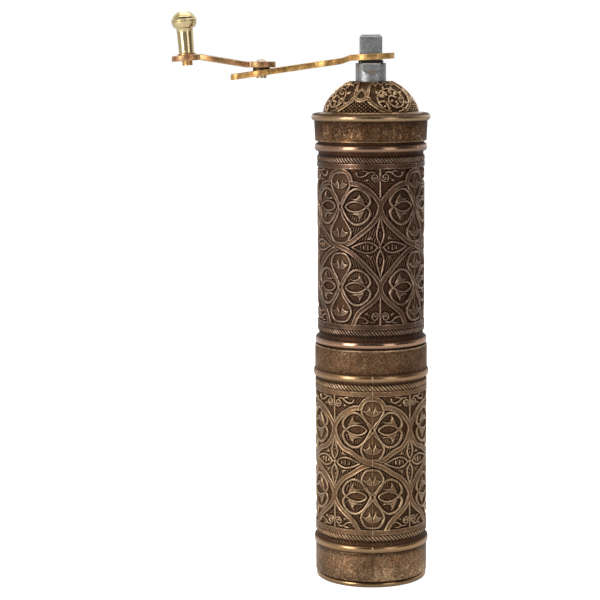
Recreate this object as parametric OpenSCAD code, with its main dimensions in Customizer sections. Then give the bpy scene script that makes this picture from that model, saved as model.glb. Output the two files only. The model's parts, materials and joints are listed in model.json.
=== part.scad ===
// Turkish hand coffee grinder: an ornamented cup, a bean chamber with a burr mill,
// a domed lid, a square-headed spindle and a folding crank with a turned knob.
// Millimetres, +Z up, origin at the centre of the foot. The crank points along -X.

/* [Base] */
// Diameter of the lip under the cup
base_lip_d = 45; // [43:0.5:46]
// Height of the lip
base_lip_h = 2.2; // [1.6:0.1:4]
// Height of the spigot that plugs the foot of the cup
base_spigot_h = 2.8; // [1.5:0.1:6]

/* [Cup] */
// Diameter of the plain bands
cup_d = 45.5; // [44.5:0.5:50]
// Bore of the cup
cup_bore_d = 41; // [40:0.2:41.6]
// Height of the plain band at the foot
cup_foot_h = 12; // [8:0.5:20]
// Height of the ornamented field
cup_field_h = 54.3; // [45:0.1:80]
// Height of the groove over the lower bead
cup_groove_low_h = 1.8; // [0.8:0.1:3]
// Height of the groove under the upper bead
cup_groove_high_h = 0.9; // [0.5:0.1:3]
// Height of the plain band at the rim
cup_rim_h = 9.8; // [6:0.2:14]
// Height by which the beads stand proud of the bands
cup_bead_stand = 0.65; // [0.3:0.05:1.2]

/* [Bean chamber] */
// Diameter of the ornamented wall
body_d = 43.3; // [42.5:0.1:46]
// Bore of the chamber
body_bore_d = 37.6; // [36.8:0.1:38]
// Diameter of the wider bore that takes the top bridge and the lid
body_seat_d = 38.6; // [38.4:0.1:39.4]
// Plain edge under the lower bead
body_foot_h = 0.3; // [0.2:0.1:2]
// Height of the ornamented field
body_field_h = 61.6; // [55:0.1:90]
// Height of the groove over the lower bead
body_groove_low_h = 2.1; // [0.8:0.1:4]
// Height of the groove under the upper bead
body_groove_high_h = 1.6; // [0.5:0.1:3]
// Plain edge over the upper bead
body_top_h = 0.4; // [0.2:0.1:2]
// Height by which the beads stand proud of the wall
body_bead_stand = 0.95; // [0.3:0.05:1.4]

/* [Borders] */
// Height of a round bead
bead_h = 3.2; // [2:0.1:4]
// Height of a rope band
rope_h = 2.5; // [1.5:0.1:4]
// Height of a plain strip beside the field
strip_h = 2.1; // [1:0.1:4]
// Depth of the grooves beside the beads
groove_depth = 0.5; // [0.2:0.05:0.8]
// Depth of the rope bands
rope_depth = 0.2; // [0.1:0.05:0.4]
// Mean depth of the ornamented fields
field_depth = 0.35; // [0.1:0.05:0.6]
// Chamfer at the open edges
edge_chamfer = 0.3; // [0.1:0.05:0.6]

/* [Lid] */
// Shadow gap between the chamber and the lid's band
lid_gap = 0.4; // [0.1:0.1:1]
// Diameter of the seat inside that gap
lid_seat_d = 41.4; // [40.4:0.2:42]
// Height of the plain band
lid_band_h = 8; // [5:0.5:14]
// Diameter of the band at its foot
lid_band_low_d = 44.8; // [43.6:0.1:47]
// Diameter of the band at its top
lid_band_top_d = 45.4; // [43.6:0.1:47]
// Diameter over the round rim
lid_rim_d = 47.7; // [46.5:0.1:50]
// Height of the round rim
lid_rim_h = 3; // [2:0.1:4]
// Height of the step between rim and dome
lid_step_h = 0.7; // [0.3:0.1:2]
// Diameter of the dome's foot
dome_d = 39.2; // [38:0.2:42]
// Rise of the dome
dome_rise = 12.3; // [9:0.1:15]
// Diameter of the flat round the spindle
dome_top_d = 17; // [15:0.5:20]
// Wall of the lid
lid_wall = 2; // [1.4:0.1:2.6]
// Length of the plug inside the chamber
plug_h = 7.2; // [4:0.2:9]
// Wall of the plug
plug_wall = 1.8; // [1.2:0.1:2.4]

/* [Spindle] */
// Diameter of the round head
spindle_d = 12.2; // [11:0.2:13]
// Height of the round head over the dome
spindle_show_h = 6.8; // [4:0.1:12]
// Diameter of the lower shaft
shaft_d = 8; // [7:0.2:8.6]
// Width across the flats of the square
square_w = 8.8; // [8.4:0.02:9.2]
// Height of the square
square_h = 11.2; // [9:0.1:18]
// Width of the square foot that carries the crank
seat_w = 9.7; // [9.5:0.05:10.4]
// Height of that foot
seat_h = 1.1; // [0.6:0.1:2.6]
// Bevel round the top of the square
square_bevel = 0.9; // [0.3:0.1:1.5]
// Length of the flats at the front and the back of the round head
flat_h = 4; // [2:0.1:5]
// Depth of those flats
flat_depth = 1.2; // [0.4:0.1:1.2]

/* [Mill] */
// Length of the neck that the cup is pushed onto
neck_h = 14.6; // [12:0.2:20]
// Length of the sleeve inside the chamber
sleeve_h = 9.4; // [6:0.2:14]
// Height of the lip that carries the ring burr
lip_h = 3.5; // [2.5:0.1:5]
// Wall of the ring burr round its exit
burr_wall = 4.57; // [4.3:0.01:4.8]
// Height of the ring burr
burr_h = 15.5; // [13:0.5:20]
// Height of its grinding cone
burr_cone_h = 10; // [8:0.5:11]
// Rim of the ring burr round its mouth
burr_rim = 1.07; // [0.9:0.01:2.5]
// Throat of the ring burr
burr_throat_d = 20.4; // [20:0.2:22.4]
// Exit of the ring burr
burr_exit_d = 24; // [22.6:0.1:25.8]
// Width by which the opening in the lip is larger than that exit
exit_clear = 1.2; // [0.8:0.1:2.6]
// Gap between the burrs at the exit
grind_gap = 0.45; // [0.4:0.05:0.8]
// Diameter of the cone burr at its top
cone_top_d = 12.8; // [12:0.2:14]
// Height of the cone burr
cone_h = 13; // [11:0.5:15]
// Drop of the cone burr below the ring burr
cone_drop = 0.5; // [0.2:0.1:1]
// Height of the hub on the cone burr
hub_h = 5.5; // [4.5:0.1:8]
// Number of coarse teeth on the cone burr
coarse_teeth = 9; // [6:1:12]
// Number of fine teeth on the cone burr
fine_teeth = 36; // [24:3:45]
// Depth of the coarse grooves
coarse_depth = 1.5; // [0.8:0.1:2]
// Depth of the fine grooves
fine_depth = 0.5; // [0.3:0.05:0.8]
// Number of grooves in the ring burr
ring_teeth = 18; // [12:1:24]
// Slant of the grooves, in degrees
groove_slant = 12; // [0:1:20]
// Share of the cone burr's height that has fine teeth
fine_share = 0.35; // [0.25:0.05:0.5]
// Diameter of the drive pin
drive_pin_d = 2.5; // [2:0.1:3]

/* [Adjuster] */
// Thickness of the lower bridge
low_bridge_h = 3; // [2.4:0.1:4]
// Width of the lower bridge
low_bridge_w = 9; // [8:0.2:11]
// Diameter of the threaded boss
boss_d = 12; // [10:0.5:14]
// Height of the threaded boss
boss_h = 2; // [1:0.1:4]
// Diameter of the thrust ball
ball_d = 5; // [4.4:0.1:5.4]
// Height of the ball's centre above the bridge's top
ball_lift = 0; // [-0.4:0.1:0.4]
// Gap from the ball's centre to the spindle and to the screw
ball_show = 1; // [0.8:0.1:1.4]
// Diameter of the adjusting screw
adjuster_d = 6; // [5.8:0.1:7]
// Free length of the screw between the boss and its head
adjuster_free_h = 2; // [1.2:0.1:5]
// Diameter of the screw's milled head
adjuster_head_d = 15; // [12:0.5:20]
// Height of the head
adjuster_head_h = 4; // [3:0.2:6]
// Number of grips round the head
adjuster_grips = 18; // [12:1:24]

/* [Screws] */
// Diameter of the screws that hold the ring burr and the bridge
screw_d = 2.5; // [2:0.1:2.6]
// Diameter of their heads
screw_head_d = 4.4; // [4:0.1:5]
// Height of their heads
screw_head_h = 1.6; // [1:0.1:2]
// Length of thread in the ring burr
screw_bite = 4.5; // [3:0.5:7]
// Width of the slots in their heads
slot_w = 0.6; // [0.4:0.1:0.8]

/* [Top bearing] */
// Depth of the bridge's ledge under the chamber's rim
bridge_drop = 15.2; // [13:0.2:20]
// Height of the bridge
bridge_h = 4; // [3:0.1:5]
// Width of the bridge's bar
bridge_bar_w = 9; // [7:0.2:12]
// Wall of the bridge's ring
bridge_ring_wall = 1.05; // [0.8:0.05:1.6]
// Diameter of the bridge's hub
bridge_hub_d = 20; // [18.5:0.2:21]
// Outer diameter of the bush
bush_d = 15.2; // [14.6:0.2:16.6]
// Diameter of the bush's flange
bush_flange_d = 18; // [17:0.2:18.4]
// Height of the flange
bush_flange_h = 1.2; // [0.8:0.1:2]

/* [Spring] */
// Height of the spring at rest
spring_h = 15.8; // [14:0.2:22]
// Mean diameter of the coil
spring_d = 14.8; // [14.6:0.1:15.4]
// Diameter of the wire
wire_d = 1.2; // [1:0.1:1.4]
// Number of turns
spring_turns = 5; // [3:1:6]
// Thickness of the washer under the spring
washer_h = 1.2; // [0.8:0.1:2]
// Diameter of the washer
washer_d = 17.4; // [16.6:0.2:18.4]
// Play of the washer under the spindle's step
washer_play = 0.3; // [0.1:0.1:1]
// Thickness of the retaining clip
clip_h = 1; // [0.8:0.1:1.4]
// Diameter of the clip
clip_d = 12; // [11:0.2:13]
// Depth of the clip's groove in the shaft
clip_groove = 0.6; // [0.4:0.05:0.8]
// Opening of the clip
clip_open_w = 4.4; // [3:0.2:5.4]

/* [Crank] */
// Thickness of the arms
arm_t = 2.3; // [1.8:0.1:2.8]
// Fall of the inner arm towards the rivet, in degrees
arm_tilt = 8; // [5:0.5:9]
// Distance from the spindle to the rivet
inner_reach = 44.1; // [36:0.1:60]
// Radius of the hub round the square
arm_hub_r = 9.4; // [8.8:0.1:11]
// Fall of the hub round the square, in degrees
hub_tilt = 2.5; // [0:0.5:4]
// Length of the hub, from the spindle to the bend
hub_flat = 8; // [6.5:0.1:9]
// Length of the ramp from the bend down to the run
ramp_len = 3.6; // [2.5:0.1:5]
// Width of the inner arm's run
inner_run_w = 8.4; // [7:0.2:10]
// Distance from the spindle to the middle of the bulge
bulge_reach = 17; // [16:0.5:20]
// Half length of the bulge
bulge_half = 4.95; // [4:0.05:5.5]
// Radius of the lobe under the rivet
inner_lobe_r = 5.6; // [5:0.1:6.4]
// Length of the tip beyond the rivet
tip_len = 12.3; // [10:0.1:16]
// Radius of the tip
tip_r = 3.4; // [2.5:0.1:4]
// Distance from the rivet to the knob
outer_reach = 29.7; // [27:0.1:40]
// Radius of the outer arm's lobe over the rivet
outer_lobe_r = 5.7; // [5:0.1:6]
// Rise of the outer arm's run towards the knob, in degrees
run_rise = 9.5; // [9:0.5:14]
// Width of the outer arm's run
outer_run_w = 7.6; // [6:0.2:9]
// Bulge of the outer arm's sides
outer_swell = 1.7; // [0.8:0.1:2.4]
// Distance from the rivet to the middle of the bulge
swell_mid = 17.4; // [15:0.1:20]
// Half length of the bulge
swell_half = 6.9; // [5:0.1:8]
// Radius of the lobe under the knob
knob_lobe_r = 6; // [5:0.1:7]
// Length of the flat from the bend to the knob
end_flat = 5.3; // [4.6:0.1:6.5]
// Fall of that flat towards the tip, in degrees
end_fall = 4; // [0:0.5:6]
// Diameter of the rivet
rivet_d = 3; // [2.4:0.1:3.2]
// Diameter of the rivet's heads
rivet_head_d = 4.1; // [3.8:0.1:5]
// Height of the rivet's heads
rivet_head_h = 0.9; // [0.6:0.1:1.4]
// Diameter of the tapered washer on the rivet
rivet_washer_d = 6.8; // [5.6:0.2:8]

/* [Knob] */
// Diameter of the knob's stem at its foot
stem_low_d = 6.2; // [5.8:0.1:7]
// Diameter of the stem under the head
stem_top_d = 6.6; // [5.8:0.1:7]
// Height of the stem
stem_h = 10.1; // [8:0.1:16]
// Diameter of the head
head_d = 10.1; // [9:0.1:13]
// Height of the head under its ridge
head_low_h = 3; // [2.4:0.1:3.8]
// Height of the head over its ridge
head_top_h = 3.8; // [3:0.1:4.2]
// Width by which the ridge stands proud
ridge_stand = 0.12; // [0.05:0.01:0.3]
// Height of the ridge
ridge_h = 0.5; // [0.3:0.05:0.8]
// Diameter of the pin that the knob turns on
pin_d = 3; // [2.4:0.1:3.4]
// Diameter of the pin's head in the knob
pin_head_d = 4.4; // [3.8:0.1:5]
// Height of the pin's head
pin_head_h = 1; // [0.6:0.1:1.4]
// Depth of the pin's head below the knob's crown
pin_sink = 0.5; // [0.3:0.1:0.8]
// Diameter of the pin's end under the arm
pin_foot_d = 4.1; // [3.8:0.1:5]
// Height of the pin's end under the arm
pin_foot_h = 1.8; // [1:0.1:2.4]
// Diameter of the washer under the knob
knob_washer_d = 7.4; // [6.8:0.1:9]
// Thickness of the washer
knob_washer_h = 0.6; // [0.4:0.1:1]

/* [Clearances] */
// Radial clearance of pieces pushed together for good
fixed_fit = 0.03; // [0.01:0.01:0.05]
// Radial clearance of turning and sliding pieces
running_fit = 0.06; // [0.04:0.01:0.1]
// Radial clearance of the neck in the cup
neck_fit = 0.08; // [0.05:0.01:0.2]
// Radial clearance of the lid's plug and of its hole round the spindle
lid_fit = 0.3; // [0.2:0.05:0.4]
// Clearance between faces that slide on each other
face_gap = 0.05; // [0.02:0.01:0.1]
// Clearance between the two arms where they cross
arm_gap = 0.2; // [0.1:0.05:0.5]

/* [Hidden] */
$fn = 96;
// Small overlap of cutting shapes
eps = 0.01;
// Sides of the spring's wire and rings in one turn of its coil
wire_sides = 6;
rings_per_turn = 8;

// Radii
cup_r = cup_d / 2;
cup_bore_r = cup_bore_d / 2;
body_r = body_d / 2;
body_bore_r = body_bore_d / 2;
body_seat_r = body_seat_d / 2;
neck_r = cup_bore_r - neck_fit;
spindle_r = spindle_d / 2;
shaft_r = shaft_d / 2;
plug_r = body_seat_r - lid_fit;
dome_r = dome_d / 2;
dome_top_r = dome_top_d / 2;
exit_d = burr_exit_d + exit_clear;
burr_d = burr_exit_d + 2 * burr_wall;
burr_mouth_d = burr_d - 2 * burr_rim;
sleeve_bore_r = burr_d / 2 + fixed_fit;
screw_circle_r = (exit_d + burr_d) / 4;

// The dome is a cap of a sphere through its foot and its flat
dome_sink = (dome_r * dome_r - dome_top_r * dome_top_r - dome_rise * dome_rise) / (2 * dome_rise);
dome_ball_r = sqrt(dome_r * dome_r + dome_sink * dome_sink);

// Levels of the outside, from the table up
function border_h(groove_h) = bead_h + groove_h + rope_h + strip_h;
z_cup = base_lip_h;
z_cup_shell = z_cup + cup_foot_h;
z_cup_field = z_cup_shell + border_h(cup_groove_low_h);
z_cup_rim = z_cup_field + cup_field_h + border_h(cup_groove_high_h);
z_body = z_cup_rim + cup_rim_h;
z_body_shell = z_body + body_foot_h;
z_body_field = z_body_shell + border_h(body_groove_low_h);
z_body_edge = z_body_field + body_field_h + border_h(body_groove_high_h);
z_body_top = z_body_edge + body_top_h;
z_lid_band = z_body_top + lid_gap;
z_lid_rim = z_lid_band + lid_band_h;
z_lid_step = z_lid_rim + lid_rim_h;
z_dome = z_lid_step + lid_step_h;
z_dome_top = z_dome + dome_rise;
z_dome_ball = z_dome - dome_sink;
z_shoulder = z_dome_top + spindle_show_h;
z_seat = z_shoulder + seat_h;
z_square_top = z_shoulder + square_h;

// Levels of the mill
z_neck = z_body - neck_h;
z_burr = z_neck + lip_h;
z_cone = z_burr - cone_drop;
z_hub = z_cone + cone_h;
z_drive_pin = z_hub + hub_h / 2;
z_low_bridge = z_neck - low_bridge_h;
z_boss = z_low_bridge - boss_h;
z_ball = z_neck + ball_lift;
z_spindle = z_ball + ball_show;
z_screw_top = z_ball - ball_show;
z_screw_head = z_boss - adjuster_free_h;

// Levels of the top bearing
z_bridge = z_body_top - bridge_drop;
z_bridge_top = z_bridge + bridge_h;
z_washer_top = z_bridge - spring_h - face_gap;
z_washer = z_washer_top - washer_h;
z_clip = z_washer - clip_h - face_gap;
z_step = z_washer_top + washer_play;
clip_groove_r = shaft_r - clip_groove;

// The inner arm's hub rests on the edge of the square foot
hub_half_t = arm_t / 2 / cos(hub_tilt);
z_arm = z_seat + face_gap + hub_half_t + seat_w / 2 * tan(hub_tilt);
x_rivet = -inner_reach * cos(arm_tilt);
z_rivet = z_arm - inner_reach * sin(arm_tilt);
half_t = arm_t / 2 / cos(arm_tilt);
// The outer arm's lobe is level and clears the rising inner arm
z_lobe = z_rivet + half_t + outer_lobe_r * tan(arm_tilt) + arm_gap;
run_start = outer_lobe_r + arm_gap;
run_end = outer_reach - end_flat;
z_bend = z_lobe + (run_end - run_start) * tan(run_rise);
z_end = z_bend - end_flat * tan(end_fall);
x_knob = x_rivet - outer_reach;
end_t = arm_t * cos(end_fall);

// Heights on the knob, from the arm's upper face
k_washer = face_gap;
k_knob = k_washer + knob_washer_h + face_gap;
k_head = k_knob + stem_h;
k_ridge = k_head + head_low_h;
k_crown = k_ridge + head_top_h;
k_pin_top = k_crown - pin_sink;
k_pin_head = k_pin_top - pin_head_h;
head_r = head_d / 2;
crown_ball_r = (head_r * head_r + head_top_h * head_top_h) / (2 * head_top_h);

// A solid of revolution between two levels
module drum(r, z, h) {
    translate([0, 0, z])
        cylinder(r = r, h = h);
}

module frustum(r1, r2, z, h) {
    translate([0, 0, z])
        cylinder(r1 = r1, r2 = r2, h = h);
}

// A round bead with its tip at radius r, standing on level z
module bead(r, z, h) {
    rotate_extrude()
        translate([r - h / 2, z + h / 2])
            circle(d = h, $fn = 48);
}

// The ornamented stretch of a shell: bead, groove, rope, strip, field, then the same mirrored
module ornament_stretch(r, z, field_h, groove_low_h, groove_high_h, stand) {
    z_rope = z + bead_h + groove_low_h;
    z_strip = z_rope + rope_h;
    z_field = z_strip + strip_h;
    z_top_strip = z_field + field_h;
    z_top_rope = z_top_strip + strip_h;
    z_top_bead = z_top_rope + rope_h + groove_high_h;
    drum(r - groove_depth, z, z_top_bead + bead_h - z);
    bead(r + stand, z, bead_h);
    drum(r - rope_depth, z_rope, rope_h + eps);
    drum(r, z_strip, strip_h);
    drum(r - field_depth, z_field - eps, field_h + 2 * eps);
    drum(r, z_top_strip, strip_h);
    drum(r - rope_depth, z_top_rope - eps, rope_h + eps);
    bead(r + stand, z_top_bead, bead_h);
}

// A band with a chamfered lower or upper edge
module chamfered_band(r, z, h, low, high) {
    frustum(r - low, r, z, low);
    drum(r, z + low, h - low - high);
    frustum(r, r - high, z + h - high, high);
}

module base_plate() {
    color("peru") {
        chamfered_band(base_lip_d / 2, 0, base_lip_h, edge_chamfer, edge_chamfer);
        drum(cup_bore_r - fixed_fit, base_lip_h - eps, base_spigot_h + eps);
    }
}

module cup_shell() {
    color("darkgoldenrod")
        difference() {
            union() {
                chamfered_band(cup_r, z_cup, cup_foot_h + eps, edge_chamfer, eps);
                ornament_stretch(cup_r, z_cup_shell, cup_field_h, cup_groove_low_h,
                    cup_groove_high_h, cup_bead_stand);
                chamfered_band(cup_r, z_cup_rim - eps, cup_rim_h + eps, eps, edge_chamfer);
            }
            drum(cup_bore_r, z_cup - eps, z_body - z_cup + 2 * eps);
        }
}

module bean_chamber() {
    color("sienna")
        difference() {
            union() {
                drum(body_r, z_body, body_foot_h + eps);
                ornament_stretch(body_r, z_body_shell, body_field_h, body_groove_low_h,
                    body_groove_high_h, body_bead_stand);
                drum(body_r, z_body_edge - eps, body_top_h + eps);
            }
            drum(body_bore_r, z_body - eps, z_body_top - z_body + 2 * eps);
            drum(body_seat_r, z_bridge, bridge_drop + eps);
        }
}

module neck_sleeve() {
    color("silver")
        difference() {
            union() {
                chamfered_band(neck_r, z_neck, neck_h, edge_chamfer, eps);
                drum(body_bore_r - fixed_fit, z_body - eps, sleeve_h + eps);
            }
            drum(sleeve_bore_r, z_burr, neck_h + sleeve_h);
            drum(exit_d / 2, z_neck - eps, lip_h + 2 * eps);
            for (turn = [0:90:270])
                rotate([0, 0, turn])
                    translate([screw_circle_r, 0, z_neck - eps])
                        cylinder(d = screw_d + 2 * fixed_fit, h = lip_h + 2 * eps, $fn = 32);
        }
}

// A slanted V groove up a cone, from level 0 at radius r
module v_groove(r, slope, depth, length) {
    side = depth * sqrt(2);
    translate([r, 0, 0])
        rotate([groove_slant, -slope, 0])
            rotate([0, 0, 45])
                translate([-side / 2, -side / 2, -depth])
                    cube([side, side, length + depth]);
}

module outer_burr() {
    cone_slope = atan((burr_exit_d - burr_throat_d) / 2 / burr_cone_h);
    color("dimgray")
        difference() {
            drum(burr_d / 2, z_burr, burr_h);
            frustum(burr_exit_d / 2 + eps, burr_throat_d / 2, z_burr - eps, burr_cone_h + 2 * eps);
            frustum(burr_throat_d / 2, burr_mouth_d / 2, z_burr + burr_cone_h,
                burr_h - burr_cone_h + eps);
            for (tooth = [0:ring_teeth - 1])
                rotate([0, 0, (tooth + 0.5) * 360 / ring_teeth])
                    translate([0, 0, z_burr])
                        v_groove(burr_exit_d / 2, cone_slope, fine_depth, burr_cone_h);
            for (turn = [0:90:270])
                rotate([0, 0, turn])
                    translate([screw_circle_r, 0, z_burr - eps])
                        cylinder(d = screw_d + 2 * fixed_fit, h = screw_bite + eps, $fn = 32);
        }
}

// A slotted screw pointing up, its head's upper face at the given level
module slotted_screw(z, grip) {
    difference() {
        union() {
            translate([0, 0, z - screw_head_h])
                cylinder(d = screw_head_d, h = screw_head_h, $fn = 32);
            translate([0, 0, z - eps])
                cylinder(d = screw_d, h = grip + screw_bite - fixed_fit, $fn = 32);
        }
        translate([-screw_head_d, -slot_w / 2, z - screw_head_h - eps])
            cube([2 * screw_head_d, slot_w, screw_head_h / 2]);
    }
}

module burr_screws() {
    color("gainsboro")
        for (side = [-1, 1])
            translate([side * screw_circle_r, 0, 0])
                slotted_screw(z_neck, lip_h);
}

module bridge_screws() {
    color("gainsboro")
        for (side = [-1, 1])
            translate([0, side * screw_circle_r, 0])
                slotted_screw(z_low_bridge, low_bridge_h + lip_h);
}

module lower_bridge() {
    bridge_end_r = screw_circle_r + screw_head_d / 2;
    color("lightgray")
        difference() {
            union() {
                intersection() {
                    translate([-low_bridge_w / 2, -bridge_end_r, z_low_bridge])
                        cube([low_bridge_w, 2 * bridge_end_r, low_bridge_h]);
                    drum(bridge_end_r, z_low_bridge, low_bridge_h);
                }
                drum(boss_d / 2, z_boss, boss_h + eps);
            }
            drum(adjuster_d / 2 + running_fit, z_boss - eps, boss_h + low_bridge_h + 2 * eps);
            for (side = [-1, 1])
                translate([0, side * screw_circle_r, z_low_bridge - eps])
                    cylinder(d = screw_d + 2 * fixed_fit, h = low_bridge_h + 2 * eps, $fn = 32);
        }
}

module top_bridge() {
    ring_r = body_seat_r - fixed_fit;
    color("darkgray")
        difference() {
            union() {
                difference() {
                    drum(ring_r, z_bridge, bridge_h);
                    drum(ring_r - bridge_ring_wall, z_bridge - eps, bridge_h + 2 * eps);
                }
                translate([-bridge_bar_w / 2, -ring_r + bridge_ring_wall / 2, z_bridge])
                    cube([bridge_bar_w, 2 * ring_r - bridge_ring_wall, bridge_h]);
                drum(bridge_hub_d / 2, z_bridge, bridge_h);
            }
            drum(bush_d / 2 + fixed_fit, z_bridge - eps, bridge_h + 2 * eps);
        }
}

module bridge_bush() {
    color("goldenrod")
        difference() {
            union() {
                drum(bush_d / 2, z_bridge, bridge_h + eps);
                drum(bush_flange_d / 2, z_bridge_top, bush_flange_h);
            }
            drum(spindle_r + running_fit, z_bridge - eps, bridge_h + bush_flange_h + 2 * eps);
        }
}

// Centre line of the spring's wire: a plain helix whose ends run straight for one wire diameter
spring_low = z_washer_top + face_gap + wire_d / 2;
spring_high = z_bridge - face_gap - wire_d / 2;
ring_total = spring_turns * rings_per_turn;
function coil_out(index) = [cos(360 * index / rings_per_turn), sin(360 * index / rings_per_turn), 0];
function coil_along(index) = [-coil_out(index).y, coil_out(index).x, 0];
function coil_point(index) = spring_d / 2 * coil_out(index)
    + [0, 0, spring_low + (spring_high - spring_low) * index / ring_total];
function wire_ring(index, shift) = [for (side = [0:wire_sides - 1])
    coil_point(index) + shift * coil_along(index)
        + wire_d / 2 * (cos(360 / wire_sides * side) * coil_out(index)
            + [0, 0, sin(360 / wire_sides * side)])];
spring_rings = [
    wire_ring(0, -wire_d),
    for (index = [0:ring_total]) wire_ring(index, 0),
    wire_ring(ring_total, wire_d)];
spring_gap = min([for (a = [0:ring_total], b = [a + rings_per_turn / 2:1:ring_total])
    norm(coil_point(a) - coil_point(b))]) - wire_d;

module return_spring() {
    last_ring = len(spring_rings) - 1;
    points = [for (ring = spring_rings) each ring];
    sides = [for (ring = [0:last_ring - 1], side = [0:wire_sides - 1])
        let (
            here = ring * wire_sides,
            there = here + wire_sides,
            next = (side + 1) % wire_sides)
        each [
            [here + side, here + next, there + side],
            [here + next, there + next, there + side]]];
    last = last_ring * wire_sides;
    caps = [for (side = [1:wire_sides - 2])
        each [[0, side + 1, side], [last, last + side, last + side + 1]]];
    echo(least_gap_between_the_turns = spring_gap);
    color("lightsteelblue")
        polyhedron(points = points, faces = concat(sides, caps));
}

module spring_washer() {
    color("gainsboro")
        difference() {
            drum(washer_d / 2, z_washer, washer_h);
            drum(shaft_r + running_fit, z_washer - eps, washer_h + 2 * eps);
        }
}

module retaining_clip() {
    color("slategray")
        difference() {
            drum(clip_d / 2, z_clip, clip_h);
            drum(clip_groove_r + fixed_fit, z_clip - eps, clip_h + 2 * eps);
            translate([0, -clip_open_w / 2, z_clip - eps])
                cube([clip_d, clip_open_w, clip_h + 2 * eps]);
        }
}

// A square with its corners rounded by the bar that it was milled from
module square_head(width, z, h) {
    intersection() {
        translate([-width / 2, -width / 2, z])
            cube([width, width, h]);
        drum(spindle_r, z, h);
    }
}

// Flats below level z at one distance off the axis, which slope out to another at their foot
module side_cuts(turns, z, top, foot, h) {
    for (turn = turns)
        rotate([0, 0, turn])
            translate([0, spindle_r, z])
                rotate([90, 0, 0])
                    linear_extrude(spindle_d)
                        polygon([
                            [top, eps],
                            [spindle_d, eps],
                            [spindle_d, -h],
                            [foot, -h],
                            [top, foot - top - h]]);
}

module spindle() {
    color("lightslategray")
        difference() {
            union() {
                drum(shaft_r, z_spindle, z_step - z_spindle + eps);
                drum(spindle_r, z_step, z_shoulder - z_step);
                square_head(seat_w, z_shoulder - eps, seat_h + eps);
                square_head(square_w, z_seat - eps, z_square_top - z_seat + eps);
            }
            side_cuts([90, 270], z_shoulder, spindle_r - flat_depth, spindle_r, flat_h);
            side_cuts([0:90:270], z_square_top, square_w / 2 - square_bevel, square_w / 2, square_bevel);
            difference() {
                drum(spindle_r, z_clip - face_gap / 2, clip_h + face_gap);
                drum(clip_groove_r, z_clip - clip_h, 3 * clip_h);
            }
            translate([0, 0, z_ball])
                sphere(r = ball_d / 2 + face_gap);
            drive_pin_hole();
        }
}

// The hole for the drive pin, through the hub and the shaft
module drive_pin_hole() {
    translate([-cone_top_d, 0, z_drive_pin])
        rotate([0, 90, 0])
            cylinder(d = drive_pin_d + 2 * fixed_fit, h = 2 * cone_top_d, $fn = 32);
}

module inner_burr() {
    cone_r = burr_exit_d / 2 - grind_gap;
    cone_slope = atan((cone_r - cone_top_d / 2) / cone_h);
    fine_band = cone_h * fine_share;
    coarse_r = cone_r - fine_band * tan(cone_slope);
    color("gray")
        difference() {
            union() {
                frustum(cone_r, cone_top_d / 2, z_cone, cone_h);
                drum(cone_top_d / 2, z_hub - eps, hub_h + eps);
            }
            drum(shaft_r + fixed_fit, z_cone - eps, cone_h + hub_h + 2 * eps);
            for (tooth = [0:fine_teeth - 1])
                rotate([0, 0, tooth * 360 / fine_teeth])
                    translate([0, 0, z_cone])
                        v_groove(cone_r, cone_slope, fine_depth, fine_band);
            for (tooth = [0:coarse_teeth - 1])
                rotate([0, 0, tooth * 360 / coarse_teeth])
                    translate([0, 0, z_cone + fine_band])
                        v_groove(coarse_r, cone_slope, coarse_depth, cone_h);
            drive_pin_hole();
        }
}

module drive_pin() {
    color("silver")
        translate([-cone_top_d / 2, 0, z_drive_pin])
            rotate([0, 90, 0])
                cylinder(d = drive_pin_d, h = cone_top_d, $fn = 32);
}

module thrust_ball() {
    color("white")
        translate([0, 0, z_ball])
            sphere(d = ball_d);
}

module adjusting_screw() {
    head_r = adjuster_head_d / 2;
    grip_r = PI * head_r / adjuster_grips / 2;
    color("darkkhaki")
        difference() {
            union() {
                drum(adjuster_d / 2, z_screw_head - eps, z_screw_top - z_screw_head + eps);
                drum(head_r, z_screw_head - adjuster_head_h, adjuster_head_h);
            }
            translate([0, 0, z_ball])
                sphere(r = ball_d / 2 + face_gap);
            for (grip = [0:adjuster_grips - 1])
                rotate([0, 0, grip * 360 / adjuster_grips])
                    translate([head_r, 0, z_screw_head - adjuster_head_h - eps])
                        cylinder(r = grip_r, h = adjuster_head_h + 2 * eps, $fn = 24);
        }
}

// The lid as one casting: plug, seat, plain band, round rim, step and dome
module lid() {
    z_plug = z_body_top - plug_h;
    hollow_r = plug_r - plug_wall;
    color("peru")
        difference() {
            union() {
                drum(plug_r, z_plug, plug_h + eps);
                drum(lid_seat_d / 2, z_body_top, lid_gap + eps);
                frustum(lid_band_low_d / 2, lid_band_top_d / 2, z_lid_band, lid_band_h + eps);
                drum(lid_rim_d / 2 - lid_rim_h / 2, z_lid_rim, lid_rim_h);
                bead(lid_rim_d / 2, z_lid_rim, lid_rim_h);
                frustum(dome_r + lid_step_h, dome_r, z_lid_step - eps, lid_step_h + 2 * eps);
                intersection() {
                    translate([0, 0, z_dome_ball])
                        sphere(r = dome_ball_r);
                    drum(dome_d, z_dome, dome_rise);
                }
            }
            drum(hollow_r, z_plug - eps, z_dome - z_plug + 2 * eps);
            intersection() {
                translate([0, 0, z_dome_ball])
                    sphere(r = dome_ball_r - lid_wall);
                drum(hollow_r, z_dome, dome_rise);
            }
            drum(spindle_r + lid_fit, z_dome, 2 * dome_rise);
        }
}

// The frame of the inner arm's run: its middle plane, through the middle of the hub
module arm_frame() {
    translate([0, 0, z_arm])
        rotate([0, -arm_tilt, 0])
            children();
}

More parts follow.
